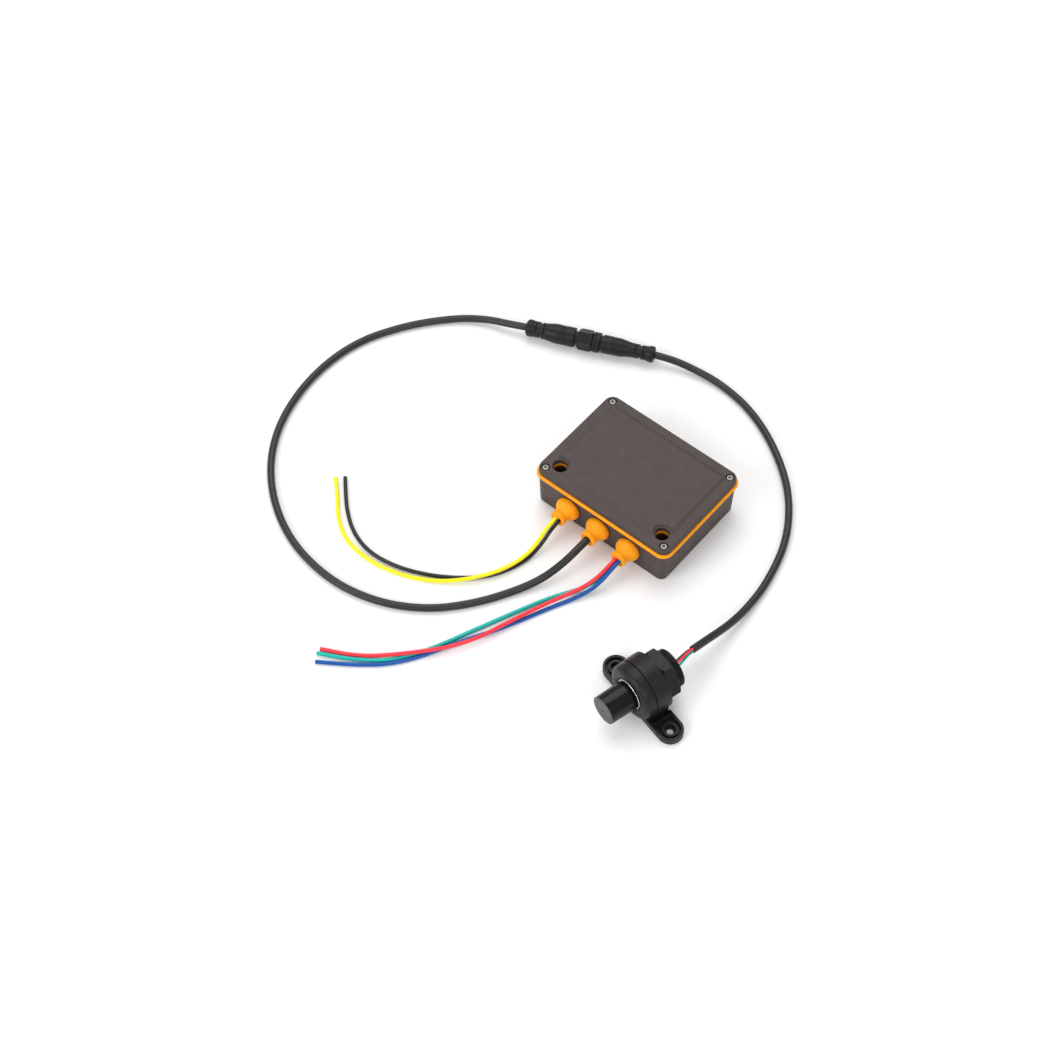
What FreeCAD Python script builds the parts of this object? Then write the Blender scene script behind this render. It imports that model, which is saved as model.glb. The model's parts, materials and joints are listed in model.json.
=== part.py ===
import FreeCAD, Part
import math
import os
import re
import Sketcher
from FreeCAD import Placement, Rotation, Vector

# Ultrasonic distance sensor: a control box, an inline connector and a clamped sensor head.
# Frame: origin at the centre of the box underside, +X along the box, -Y out of the
# cable side, +Z up. Everything lies on the plane z = 0. Lengths are millimetres.

doc = FreeCAD.newDocument("ultrasonic_distance_sensor")

# ---------------------------------------------------------------- driving dimensions

SIZES = [
    # control box
    ("lid_length", 110.0), ("lid_width", 82.0), ("corner_round", 6.5), ("base_corner", 4.8),
    ("foot_length", 107.2), ("foot_width", 79.2), ("base_height", 28.0),
    ("draft_angle", 1.64), ("bottom_round", 1.0),
    ("floor_thick", 2.5), ("cavity_length", 103.2), ("cavity_width", 75.2),
    ("corner_block", 5.8), ("gasket_thick", 3.0), ("gasket_overhang", 1.5),
    ("bead_round", 1.4), ("lid_edge_thick", 4.2), ("panel_rise", 0.8),
    ("panel_margin", 6.5), ("panel_slope", 2.4), ("lid_hollow", 2.0),
    ("lid_wall", 7.0), ("lid_edge_round", 0.8),
    # lid screws and their inserts
    ("screw_x", 50.0), ("screw_y", 36.0), ("screw_radius", 1.25),
    ("screw_clear", 1.45), ("head_radius", 2.25), ("head_height", 2.5),
    ("head_socket_flats", 2.0), ("head_socket_depth", 1.3), ("counterbore_radius", 3.0),
    ("counterbore_depth", 2.7), ("screw_length", 12.0), ("insert_radius", 1.9),
    ("insert_bore", 1.3), ("insert_length", 5.0), ("insert_hole_depth", 9.0),
    # through holes that fasten the box to a panel
    ("mount_x", 43.0), ("mount_y", 28.8), ("column_radius", 7.0),
    ("access_radius", 5.2), ("lid_access_radius", 5.0), ("lid_access_chamfer", 0.6),
    ("lid_access_ring", 6.5),
    ("mount_hole_radius", 2.25), ("mount_land", 3.2), ("eyelet_radius", 8.6),
    # grommets in the cable wall
    ("grommet_pitch", 25.6), ("grommet_height", 15.0), ("grommet_hole", 6.5),
    ("grommet_groove", 6.45), ("grommet_flange", 8.0), ("grommet_flange_thick", 1.9),
    ("grommet_reach", 15.9), ("grommet_dome", 8.9), ("grommet_neck", 5.1),
    ("grommet_nose", 5.7),
    # circuit board
    ("board_length", 93.0), ("board_width", 62.0), ("board_thick", 1.6),
    ("board_height", 8.0), ("board_notch", 8.0), ("rear_post_x", 40.0),
    ("rear_post_y", 25.0), ("front_post_x", 12.8), ("front_post_y", 26.0),
    ("post_radius", 3.0), ("post_pilot", 1.3), ("board_hole", 1.6),
    ("board_screw_radius", 1.25), ("board_screw_head", 2.6),
    ("board_screw_head_height", 1.8), ("board_screw_length", 5.6),
    ("terminal_pole", 5.08), ("terminal_deep", 10.0), ("terminal_high", 10.4),
    ("terminal_front", 29.0), ("terminal_screw_hole", 1.7),
    # wires and cables
    ("wire_radius", 1.35), ("cable_radius", 2.6), ("core_radius", 0.85),
    ("wire_spacing", 1.5), ("wire_drop", 2.6), ("exit_reach", 53.5),
    # inline connector, measured along its axis from the box-side end
    ("connector_x", -152.2), ("connector_y", 66.4), ("connector_z", 7.72),
    ("connector_yaw", 24.03), ("socket_collar_end", 5.6), ("socket_collar_radius", 6.2),
    ("socket_neck_end", 14.8), ("socket_neck_radius", 5.8), ("socket_taper_end", 22.0),
    ("socket_body_end", 36.3), ("socket_body_radius", 7.1), ("groove_depth", 0.35),
    ("groove_wide", 0.7), ("groove_pitch", 1.6), ("swivel_radius", 4.95),
    ("swivel_end", 40.3), ("stop_flange_end", 41.5), ("stop_flange_radius", 5.7),
    ("nose_end", 48.6), ("nose_radius", 4.4), ("contact_circle", 2.2),
    ("contact_outer", 0.9), ("contact_bore", 0.6), ("contact_depth", 5.3),
    ("nut_start", 38.6), ("nut_lip_end", 40.1), ("nut_end", 49.3),
    ("nut_corner", 7.85), ("nut_lip_bore", 5.05), ("nut_bore", 5.9),
    ("seal_section", 0.35), ("seal_ring_radius", 5.0), ("thread_start", 42.3),
    ("thread_end", 49.4), ("thread_crest", 5.7), ("thread_root", 5.25),
    ("thread_step", 1.0), ("sleeve_bore", 4.6), ("sleeve_floor", 49.0),
    ("ring_start", 50.1), ("ring_end", 55.0), ("ring_radius", 7.3),
    ("plug_gap_end", 56.6), ("plug_gap_radius", 5.4), ("plug_body_end", 68.4),
    ("plug_body_radius", 6.65), ("plug_taper_end", 77.4), ("plug_neck_end", 89.6),
    ("plug_neck_radius", 5.1), ("plug_end", 95.0), ("plug_collar_radius", 5.9),
    ("pin_radius", 0.5), ("pin_tip", 43.6),
    # sensor head, measured along its axis from the plane of the bracket's ears
    ("head_x", 99.6), ("head_y", -119.4), ("axis_height", 20.8), ("head_yaw", -14.4),
    ("face_front", -32.6), ("face_rim_thick", 0.7), ("face_radius", 9.85),
    ("face_plug_radius", 8.9), ("face_plug_end", -30.6), ("face_hole", 0.55),
    ("face_hole_depth", 1.2), ("probe_radius", 10.1), ("probe_rear", -5.6),
    ("probe_bore", 8.9), ("piezo_radius", 7.0), ("piezo_thick", 1.2),
    ("pad_rear", -7.0), ("collar_front", -12.2), ("collar_rear", -9.6),
    ("collar_radius", 11.0), ("collar_bore", 10.15), ("flange_front", -13.0),
    ("flange_lip_radius", 14.8), ("flange_recess", 11.2), ("flange_shoulder", -9.4),
    ("flange_radius", 19.6), ("flange_rear", -4.2), ("probe_seat_bore", 10.2),
    ("inner_step", -5.4), ("barrel_radius", 13.6), ("barrel_bore", 11.6),
    ("barrel_rear", 22.4), ("barrel_crest", 13.55), ("barrel_root", 12.75),
    ("barrel_pitch", 2.0), ("barrel_thread_start", 9.0), ("flange_seal_outer", 18.8),
    ("flange_seal_inner", 13.8), ("potting_front", 17.6), ("potting_rear", 20.8),
    # bracket
    ("ring_front", -3.7), ("ring_rear", 7.2), ("clamp_radius", 20.0),
    ("clamp_bore", 13.68), ("ear_spacing", 56.5), ("ear_radius", 8.7),
    ("ear_height", 5.0), ("ear_wall", 1.7), ("ear_floor", 2.0), ("ear_boss", 5.3),
    ("ear_boss_height", 4.4), ("ear_sink", 3.7), ("ear_land", 1.2), ("ear_hole", 2.25),
    ("saddle_half", 17.0), ("saddle_height", 12.0), ("pocket_start", 20.6),
    ("rib_start", 18.9), ("nut_chamfer", 1.3), ("clamp_nut_chamfer", 1.3),
    ("clamp_nut_turn", 24.0), ("relief_gap", 0.4),
    # clamp washer and nut on the barrel
    ("washer_front", 7.3), ("washer_rear", 8.3), ("washer_outer", 16.6),
    ("washer_inner", 13.8), ("clamp_nut_front", 8.4), ("clamp_nut_rear", 16.0),
    ("clamp_nut_corner", 18.8), ("clamp_nut_bore", 13.65),
]

sheet = doc.addObject("Spreadsheet::Sheet", "Sizes")
for row, (alias, value) in enumerate(SIZES, start=1):
    sheet.set("A%d" % row, alias.replace("_", " "))
    sheet.set("B%d" % row, str(value))
    sheet.setAlias("B%d" % row, alias)
doc.recompute()


def size(alias):
    """The sheet's value of one driving dimension."""
    return float(sheet.get(alias))


def bound(text):
    """An expression over sheet aliases, with each alias written as Sizes.alias."""
    return re.sub(r"[a-z][a-z_]+\b(?!\()", lambda word: "Sizes." + word.group(0), str(text))


def bind(item, prop, text):
    item.setExpression(prop, bound(text))


# ---------------------------------------------------------------- sketch helpers

def new_body(label):
    body = doc.addObject("PartDesign::Body", label)
    body.Label = label
    return body


def new_sketch(body, plane="XY_Plane", offset="0"):
    """A sketch on one of the body's origin planes, moved along its normal."""
    sketch = body.newObject("Sketcher::SketchObject", body.Label + "_sketch")
    support = [item for item in body.Origin.OriginFeatures if item.Role == plane][0]
    sketch.AttachmentSupport = [(support, "")]
    sketch.MapMode = "FlatFace"
    bind(sketch, "AttachmentOffset.Base.z", offset)
    return sketch


def hold(sketch, kind, geometry, point, text):
    """One dimension of the sketch, bound to the sheet."""
    index = sketch.addConstraint(Sketcher.Constraint(kind, geometry, point, 1.0))
    bind(sketch, "Constraints[%d]" % index, text)


def add_polygon(sketch, corners):
    """A closed outline whose corners are pairs of expressions."""
    first = sketch.GeometryCount
    count = len(corners)
    spread = [Vector(10.0 + 3.0 * i, 5.0 + 0.7 * i * i, 0) for i in range(count)]
    for i in range(count):
        line = Part.LineSegment(spread[i], spread[(i + 1) % count])
        sketch.addGeometry(line, False)
    joins = [Sketcher.Constraint("Coincident", first + i, 2, first + (i + 1) % count, 1)
             for i in range(count)]
    sketch.addConstraint(joins)
    places = []
    for i, (across, along) in enumerate(corners):
        places.append(("DistanceX", first + i, across))
        places.append(("DistanceY", first + i, along))
    start = sketch.ConstraintCount
    sketch.addConstraint([Sketcher.Constraint(kind, line, 1, 1.0 + 0.1 * k)
                          for k, (kind, line, _) in enumerate(places)])
    for k, (_, _, text) in enumerate(places):
        bind(sketch, "Constraints[%d]" % (start + k), text)


def add_rectangle(sketch, left, right, low, high):
    add_polygon(sketch, [(left, low), (right, low), (right, high), (left, high)])


def add_circle(sketch, across, along, radius):
    circle = sketch.addGeometry(Part.Circle(Vector(1, 1, 0), Vector(0, 0, 1), 1), False)
    index = sketch.addConstraint(Sketcher.Constraint("Radius", circle, 1.0))
    bind(sketch, "Constraints[%d]" % index, radius)
    hold(sketch, "DistanceX", circle, 3, across)
    hold(sketch, "DistanceY", circle, 3, along)


def pad(body, sketch, length, taper=None):
    feature = body.newObject("PartDesign::Pad", body.Label + "_pad")
    feature.Profile = sketch
    bind(feature, "Length", length)
    if taper:
        bind(feature, "TaperAngle", taper)
    doc.recompute()
    return feature


def pocket(body, sketch, length):
    """A pocket that is turned round if it removes nothing."""
    before = body.Tip.Shape.Volume
    feature = body.newObject("PartDesign::Pocket", body.Label + "_pocket")
    feature.Profile = sketch
    bind(feature, "Length", length)
    doc.recompute()
    if body.Tip.Shape.isNull() or body.Tip.Shape.Volume > before - 1e-3:
        feature.Reversed = True
        doc.recompute()
    if body.Tip.Shape.Volume > before - 1e-3:
        raise RuntimeError(body.Label + ": a pocket cuts nothing")
    return feature


def dress(body, kind, amount, chosen, second=None):
    """A fillet or chamfer on the tip's edges that `chosen` picks."""
    base = body.Tip
    names = ["Edge%d" % (i + 1) for i, edge in enumerate(base.Shape.Edges) if chosen(edge)]
    if not names:
        raise RuntimeError(body.Label + ": no edge to dress")
    feature = body.newObject("PartDesign::" + kind, body.Label + "_" + kind.lower())
    feature.Base = (base, names)
    if kind == "Fillet":
        bind(feature, "Radius", amount)
    else:
        bind(feature, "Size", amount)
        if second:
            feature.ChamferType = "Two distances"
            bind(feature, "Size2", second)
    doc.recompute()
    if second and "Invalid" in feature.State:
        feature.FlipDirection = True
        doc.recompute()
    return feature


def is_upright(edge):
    box = edge.BoundBox
    return box.ZLength > 0.5 and box.XLength < 1.0 and box.YLength < 1.0


def is_level(edge, height):
    box = edge.BoundBox
    return abs(box.ZMin - height) < 1e-4 and abs(box.ZMax - height) < 1e-4


def turned(label, profile):
    """A body of revolution about Z. The profile's points are (along, radius) pairs."""
    body = new_body(label)
    sketch = new_sketch(body, "XZ_Plane")
    add_polygon(sketch, [(radius, along) for along, radius in profile])
    feature = body.newObject("PartDesign::Revolution", label + "_turn")
    feature.Profile = sketch
    feature.ReferenceAxis = (sketch, ["V_Axis"])
    feature.Angle = 360.0
    doc.recompute()
    return body


# ---------------------------------------------------------------- primitive helpers

def cylinder(name, radius, height, across="0", along="0", low="0"):
    item = doc.addObject("Part::Cylinder", name)
    bind(item, "Radius", radius)
    bind(item, "Height", height)
    bind(item, "Placement.Base.x", across)
    bind(item, "Placement.Base.y", along)
    bind(item, "Placement.Base.z", low)
    return item


def box(name, lengths, corner):
    item = doc.addObject("Part::Box", name)
    for prop, text in zip(("Length", "Width", "Height"), lengths):
        bind(item, prop, text)
    for prop, text in zip("xyz", corner):
        bind(item, "Placement.Base." + prop, text)
    return item


def prism(name, sides, corner_radius, height, across="0", along="0", low="0"):
    item = doc.addObject("Part::Prism", name)
    item.Polygon = sides
    bind(item, "Circumradius", corner_radius)
    bind(item, "Height", height)
    bind(item, "Placement.Base.x", across)
    bind(item, "Placement.Base.y", along)
    bind(item, "Placement.Base.z", low)
    return item


def joined(label, items):
    item = doc.addObject("Part::MultiFuse", label)
    item.Shapes = items
    item.Label = label
    return item


def grouped(label, items):
    item = doc.addObject("Part::Compound", label)
    item.Links = items
    item.Label = label
    return item


def cut(label, base, tool):
    item = doc.addObject("Part::Cut", label)
    item.Base = base
    item.Tool = tool
    item.Label = label
    return item


# ---------------------------------------------------------------- control box

SIDES = ((1, 1), (-1, 1), (-1, -1), (1, -1))


def notched_outline(grow):
    """The box cavity's outline: a rectangle less a square block in each corner."""
    half_x = "(cavity_length / 2 - %s)" % grow
    half_y = "(cavity_width / 2 - %s)" % grow
    inner_x = "(%s - corner_block)" % half_x
    inner_y = "(%s - corner_block)" % half_y
    corner = [(half_x, inner_y), (inner_x, inner_y), (inner_x, half_y)]
    points = []
    for number, (sign_x, sign_y) in enumerate(SIDES):
        run = corner if number % 2 == 0 else corner[::-1]
        points += [("%d * %s" % (sign_x, x), "%d * %s" % (sign_y, y)) for x, y in run]
    return points


def enclosure_base():
    body = new_body("enclosure_base")
    foot = new_sketch(body)
    add_rectangle(foot, "-foot_length / 2", "foot_length / 2",
                  "-foot_width / 2", "foot_width / 2")
    pad(body, foot, "base_height", "draft_angle")
    dress(body, "Fillet", "base_corner", lambda e: e.BoundBox.ZLength > 20)
    dress(body, "Fillet", "bottom_round", lambda e: is_level(e, 0.0))
    hollow = new_sketch(body, offset="base_height")
    add_polygon(hollow, notched_outline("0"))
    pocket(body, hollow, "base_height - floor_thick")

    posts = new_sketch(body, offset="floor_thick - 0.5")
    for sign in (-1, 1):
        add_circle(posts, "%d * rear_post_x" % sign, "rear_post_y", "post_radius")
        add_circle(posts, "%d * front_post_x" % sign, "-front_post_y", "post_radius")
    pad(body, posts, "board_height - floor_thick + 0.5")
    columns = new_sketch(body, offset="floor_thick - 0.5")
    for sign in (-1, 1):
        add_circle(columns, "%d * mount_x" % sign, "-mount_y", "column_radius")
    pad(body, columns, "base_height - floor_thick + 0.5")

    pilots = new_sketch(body, offset="board_height")
    for sign in (-1, 1):
        add_circle(pilots, "%d * rear_post_x" % sign, "rear_post_y", "post_pilot")
        add_circle(pilots, "%d * front_post_x" % sign, "-front_post_y", "post_pilot")
    pocket(body, pilots, "board_screw_length - board_thick + 1")
    bores = new_sketch(body, offset="base_height")
    for sign in (-1, 1):
        add_circle(bores, "%d * mount_x" % sign, "-mount_y", "access_radius")
    pocket(body, bores, "base_height - mount_land")
    holes = new_sketch(body, offset="mount_land")
    for sign in (-1, 1):
        add_circle(holes, "%d * mount_x" % sign, "-mount_y", "mount_hole_radius")
    pocket(body, holes, "mount_land + 1")
    seats = new_sketch(body, offset="base_height")
    for sign_x, sign_y in SIDES:
        add_circle(seats, "%d * screw_x" % sign_x, "%d * screw_y" % sign_y, "insert_radius")
    pocket(body, seats, "insert_hole_depth")
    glands = new_sketch(body, "XZ_Plane", offset="lid_width / 2")
    for place in (-1, 0, 1):
        add_circle(glands, "%d * grommet_pitch" % place, "grommet_height", "grommet_hole")
    pocket(body, glands, "lid_width / 2 - cavity_width / 2 + 1")
    return body


def enclosure_lid():
    body = new_body("enclosure_lid")
    slab = new_sketch(body, offset="base_height + gasket_thick")
    add_rectangle(slab, "-lid_length / 2", "lid_length / 2", "-lid_width / 2", "lid_width / 2")
    pad(body, slab, "lid_edge_thick")
    edge_top = size("base_height") + size("gasket_thick") + size("lid_edge_thick")
    dress(body, "Fillet", "corner_round", is_upright)
    dress(body, "Fillet", "lid_edge_round", lambda e: is_level(e, edge_top))
    panel = new_sketch(body, offset="base_height + gasket_thick + lid_edge_thick")
    half_x = "(lid_length / 2 - panel_margin)"
    half_y = "(lid_width / 2 - panel_margin)"
    add_rectangle(panel, "-" + half_x, half_x, "-" + half_y, half_y)
    pad(body, panel, "panel_rise")
    dress(body, "Fillet", "panel_margin - 3.5",
          lambda e: is_upright(e) and e.BoundBox.ZMin > edge_top - 0.01)
    panel_top = edge_top + size("panel_rise")
    dress(body, "Chamfer", "panel_rise - 0.05", lambda e: is_level(e, panel_top),
          "panel_slope")
    hollow = new_sketch(body, offset="base_height + gasket_thick")
    half_x = "(lid_length / 2 - lid_wall)"
    half_y = "(lid_width / 2 - lid_wall)"
    add_rectangle(hollow, "-" + half_x, half_x, "-" + half_y, half_y)
    pocket(body, hollow, "lid_hollow")
    lands = new_sketch(body, offset="base_height + gasket_thick")
    for sign in (-1, 1):
        add_circle(lands, "%d * mount_x" % sign, "-mount_y", "eyelet_radius")
    pad(body, lands, "lid_hollow + 0.5")
    rings = new_sketch(body, offset="base_height + gasket_thick + lid_edge_thick + panel_rise")
    for sign in (-1, 1):
        add_circle(rings, "%d * mount_x" % sign, "-mount_y", "lid_access_ring")
    pocket(body, rings, "panel_rise")
    access = new_sketch(body, offset="base_height + gasket_thick + lid_edge_thick + panel_rise")
    for sign in (-1, 1):
        add_circle(access, "%d * mount_x" % sign, "-mount_y", "lid_access_radius")
    pocket(body, access, "lid_edge_thick + panel_rise + 1")
    dress(body, "Chamfer", "lid_access_chamfer",
          lambda e: is_level(e, edge_top) and len(e.Vertexes) == 1)
    sinks = new_sketch(body, offset="base_height + gasket_thick + lid_edge_thick")
    for sign_x, sign_y in SIDES:
        add_circle(sinks, "%d * screw_x" % sign_x, "%d * screw_y" % sign_y,
                   "counterbore_radius")
    pocket(body, sinks, "counterbore_depth")
    holes = new_sketch(body, offset="base_height + gasket_thick + lid_edge_thick")
    for sign_x, sign_y in SIDES:
        add_circle(holes, "%d * screw_x" % sign_x, "%d * screw_y" % sign_y, "screw_clear")
    pocket(body, holes, "lid_edge_thick + 1")
    return body


def lid_gasket():
    """A rubber frame with a bead outside the lid and an eyelet round each access bore."""
    body = new_body("lid_gasket")
    frame = new_sketch(body, offset="base_height")
    half_x = "(lid_length / 2 + gasket_overhang)"
    half_y = "(lid_width / 2 + gasket_overhang)"
    add_rectangle(frame, "-" + half_x, half_x, "-" + half_y, half_y)
    pad(body, frame, "gasket_thick")
    dress(body, "Fillet", "corner_round + gasket_overhang", is_upright)
    dress(body, "Fillet", "bead_round",
          lambda e: is_level(e, size("base_height"))
          or is_level(e, size("base_height") + size("gasket_thick")))
    window = new_sketch(body, offset="base_height + gasket_thick")
    add_polygon(window, notched_outline("0.6"))
    pocket(body, window, "gasket_thick + 1")
    eyelets = new_sketch(body, offset="base_height")
    for sign in (-1, 1):
        add_circle(eyelets, "%d * mount_x" % sign, "-mount_y", "eyelet_radius")
    pad(body, eyelets, "gasket_thick")
    holes = new_sketch(body, offset="base_height + gasket_thick")
    for sign in (-1, 1):
        add_circle(holes, "%d * mount_x" % sign, "-mount_y", "access_radius")
    for sign_x, sign_y in SIDES:
        add_circle(holes, "%d * screw_x" % sign_x, "%d * screw_y" % sign_y, "screw_clear")
    pocket(body, holes, "gasket_thick + 1")
    return body


def lid_screws():
    """Four socket-head screws, each with a hexagon recess."""
    screws = []
    seat = "(base_height + gasket_thick + lid_edge_thick - counterbore_depth)"
    for number, (sign_x, sign_y) in enumerate(SIDES):
        place = ("%d * screw_x" % sign_x, "%d * screw_y" % sign_y)
        head = cylinder("screw_head_%d" % number, "head_radius", "head_height", *place, seat)
        shank = cylinder("screw_shank_%d" % number, "screw_radius", "screw_length + 1", *place,
                         seat + " - screw_length")
        recess = prism("screw_recess_%d" % number, 6, "head_socket_flats / 1.7320508",
                       "head_socket_depth + 1", *place,
                       seat + " + head_height - head_socket_depth")
        solid = joined("screw_blank_%d" % number, [head, shank])
        screws.append(cut("screw_%d" % number, solid, recess))
    return grouped("lid_screws", screws)


def threaded_inserts():
    inserts = []
    for number, (sign_x, sign_y) in enumerate(SIDES):
        place = ("%d * screw_x" % sign_x, "%d * screw_y" % sign_y)
        outer = cylinder("insert_outer_%d" % number, "insert_radius", "insert_length", *place,
                         "base_height - insert_length")
        bore = cylinder("insert_bore_%d" % number, "insert_bore", "insert_length + 2", *place,
                        "base_height - insert_length - 1")
        inserts.append(cut("insert_%d" % number, outer, bore))
    return grouped("threaded_inserts", inserts)


def grommet(label, place):
    """A bell-shaped rubber grommet with a collared nose. Z runs outwards from the wall's inside."""
    body = turned(label, [
        ("-grommet_flange_thick - 0.1", "0"),
        ("-grommet_flange_thick - 0.1", "grommet_flange"),
        ("-0.1", "grommet_flange"),
        ("-0.1", "grommet_groove"),
        ("2.85", "grommet_groove"),
        ("2.85", "grommet_dome - 0.2"),
        ("4.5", "grommet_dome"),
        ("6.4", "grommet_dome - 0.6"),
        ("8.2", "grommet_dome - 1.9"),
        ("10.2", "grommet_neck + 0.6"),
        ("12.6", "grommet_neck"),
        ("13.9", "grommet_nose - 0.3"),
        ("grommet_reach - 0.6", "grommet_nose"),
        ("grommet_reach", "grommet_nose - 0.3"),
        ("grommet_reach", "0"),
    ])
    body.Placement = Placement(
        Vector(place * size("grommet_pitch"), -size("cavity_width") / 2, size("grommet_height")),
        Rotation(Vector(1, 0, 0), 90))
    return body


# ---------------------------------------------------------------- electronics

BOARD_TOP = "(board_height + board_thick)"


def circuit_board():
    body = new_body("circuit_board")
    plate = new_sketch(body, offset="board_height")
    add_rectangle(plate, "-board_length / 2", "board_length / 2",
                  "-board_width / 2", "board_width / 2")
    pad(body, plate, "board_thick")
    notches = new_sketch(body, offset=BOARD_TOP)
    for sign in (-1, 1):
        add_circle(notches, "%d * mount_x" % sign, "-mount_y", "board_notch")
    pocket(body, notches, "board_thick + 1")
    holes = new_sketch(body, offset=BOARD_TOP)
    for sign in (-1, 1):
        add_circle(holes, "%d * rear_post_x" % sign, "rear_post_y", "board_hole")
        add_circle(holes, "%d * front_post_x" % sign, "-front_post_y", "board_hole")
    pocket(body, holes, "board_thick + 1")
    return body


def board_screws():
    screws = []
    for sign in (-1, 1):
        for name, across, along in (("rear", "rear_post_x", "rear_post_y"),
                                    ("front", "front_post_x", "-front_post_y")):
            tag = "%s_%d" % (name, sign + 1)
            place = ("%d * %s" % (sign, across), along)
            head = cylinder("board_head_" + tag, "board_screw_head",
                            "board_screw_head_height", *place, BOARD_TOP)
            shank = cylinder("board_shank_" + tag, "board_screw_radius",
                             "board_screw_length + 0.5", *place,
                             BOARD_TOP + " - board_screw_length")
            screws.append(joined("board_screw_" + tag, [head, shank]))
    return grouped("board_screws", screws)


def terminal(label, place, poles):
    """A screw terminal block with a wire hole and a screw hole for each pole."""
    middle = "(%d * grommet_pitch)" % place
    width = "(%d * terminal_pole)" % poles
    block = box(label + "_block", (width, "terminal_deep", "terminal_high"),
                ("%s - %s / 2" % (middle, width), "-terminal_front", BOARD_TOP))
    tools = []
    for pole in range(poles):
        centre = "%s + (%s) * terminal_pole" % (middle, pole - (poles - 1) / 2)
        tools.append(cylinder("%s_screw_%d" % (label, pole), "terminal_screw_hole", "4",
                              centre, "-terminal_front + terminal_deep / 2",
                              BOARD_TOP + " + terminal_high - 3"))
    return cut(label, block, joined(label + "_tools", tools))


def wire_leads(label, starts, radius):
    """Leads between a grommet's inside face and its terminal block."""
    leads = []
    for number, (across, height) in enumerate(starts):
        lead = cylinder("%s_%d" % (label, number), radius,
                        "cavity_width / 2 - grommet_flange_thick - 0.1 - terminal_front",
                        across, "-terminal_front", height)
        lead.Placement.Rotation = Rotation(Vector(1, 0, 0), 90)
        leads.append(lead)
    return grouped(label, leads)


def block_part(label, length, width, height, across, along):
    """A plain moulded component standing on the board, with softened upright edges."""
    body = new_body(label)
    sketch = new_sketch(body, offset=BOARD_TOP)
    add_rectangle(sketch, "%s - %s / 2" % (across, length), "%s + %s / 2" % (across, length),
                  "%s - %s / 2" % (along, width), "%s + %s / 2" % (along, width))
    pad(body, sketch, height)
    dress(body, "Chamfer", "0.3", is_upright)
    return body


def transformer_core():
    """An E-shaped ferrite core on its side, with a window for the coil."""
    body = new_body("transformer_core")
    sketch = new_sketch(body, "XZ_Plane", offset="-16")
    add_rectangle(sketch, "-38", "-18", BOARD_TOP, BOARD_TOP + " + 12")
    add_rectangle(sketch, "-35", "-30.5", BOARD_TOP + " + 3", BOARD_TOP + " + 9")
    add_rectangle(sketch, "-25.5", "-21", BOARD_TOP + " + 3", BOARD_TOP + " + 9")
    pad(body, sketch, "8")
    return body


def transformer_coil():
    """The winding round the core's middle leg, between its yokes."""
    outer = box("coil_outer", ("9", "14", "5.6"), ("-32.5", "5", BOARD_TOP + " + 3.2"))
    inner = box("coil_window", ("5.2", "8.4", "8"), ("-30.6", "7.8", BOARD_TOP + " + 2"))
    return cut("transformer_coil", outer, inner)


def capacitors():
    cans = []
    for number, (across, along, radius, height) in enumerate((
            ("-6", "15", "4", "11.5"), ("5", "15", "4", "11.5"), ("19", "14", "5", "13"))):
        cans.append(cylinder("capacitor_%d" % number, radius, height, across, along, BOARD_TOP))
    return grouped("capacitors", cans)


# ---------------------------------------------------------------- inline connector

def connector_place(turn=0.0):
    """Local Z runs along the connector from the box-side end to the sensor-side end."""
    aim = Rotation(Vector(0, 0, 1), size("connector_yaw")) * Rotation(Vector(0, 1, 0), 90)
    spin = Rotation(Vector(0, 0, 1), turn)
    corner = Vector(size("connector_x"), size("connector_y"), size("connector_z"))
    return Placement(corner, aim * spin)


def grooves(first, radius):
    """Three fine grip grooves round a moulding."""
    points = []
    for number in range(3):
        start = "%s + %d * groove_pitch" % (first, number)
        points += [(start, radius), (start, radius + " - groove_depth"),
                   (start + " + groove_wide", radius + " - groove_depth"),
                   (start + " + groove_wide", radius)]
    return points


def socket_overmold():
    body = turned("socket_overmold", [
        ("0", "0"), ("0", "socket_collar_radius - 0.8"), ("0.8", "socket_collar_radius"),
        ("socket_collar_end - 0.8", "socket_collar_radius"),
        ("socket_collar_end", "socket_neck_radius"),
        ("socket_neck_end", "socket_neck_radius"),
        ("socket_taper_end", "socket_body_radius"),
    ] + grooves("socket_taper_end + 3.8", "socket_body_radius") + [
        ("socket_body_end - 0.5", "socket_body_radius"),
        ("socket_body_end", "socket_body_radius - 0.5"),
        ("socket_body_end", "swivel_radius"),
        ("swivel_end", "swivel_radius"),
        ("swivel_end", "stop_flange_radius"),
        ("stop_flange_end", "stop_flange_radius"),
        ("stop_flange_end", "0"),
    ])
    body.Placement = connector_place()
    return body


def ring_of_three(name, radius, height, low):
    items = []
    for number in range(3):
        item = cylinder("%s_%d" % (name, number), radius, height,
                        "contact_circle * cos(%d)" % (90 + 120 * number),
                        "contact_circle * sin(%d)" % (90 + 120 * number), low)
        items.append(item)
    return items


def socket_insert():
    blank = cylinder("insert_nose", "nose_radius", "nose_end - stop_flange_end", "0", "0",
                     "stop_flange_end")
    tools = ring_of_three("nose_bore", "contact_outer", "contact_depth + 1",
                          "nose_end - contact_depth")
    item = cut("socket_insert", blank, joined("nose_bores", tools))
    item.Placement = connector_place()
    return item


def socket_contacts():
    tubes = []
    outers = ring_of_three("contact_outer", "contact_outer", "contact_depth",
                           "nose_end - contact_depth")
    inners = ring_of_three("contact_inner", "contact_bore", "contact_depth + 2",
                           "nose_end - contact_depth - 1")
    for number in range(3):
        tubes.append(cut("contact_%d" % number, outers[number], inners[number]))
    item = grouped("socket_contacts", tubes)
    item.Placement = connector_place()
    return item


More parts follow.
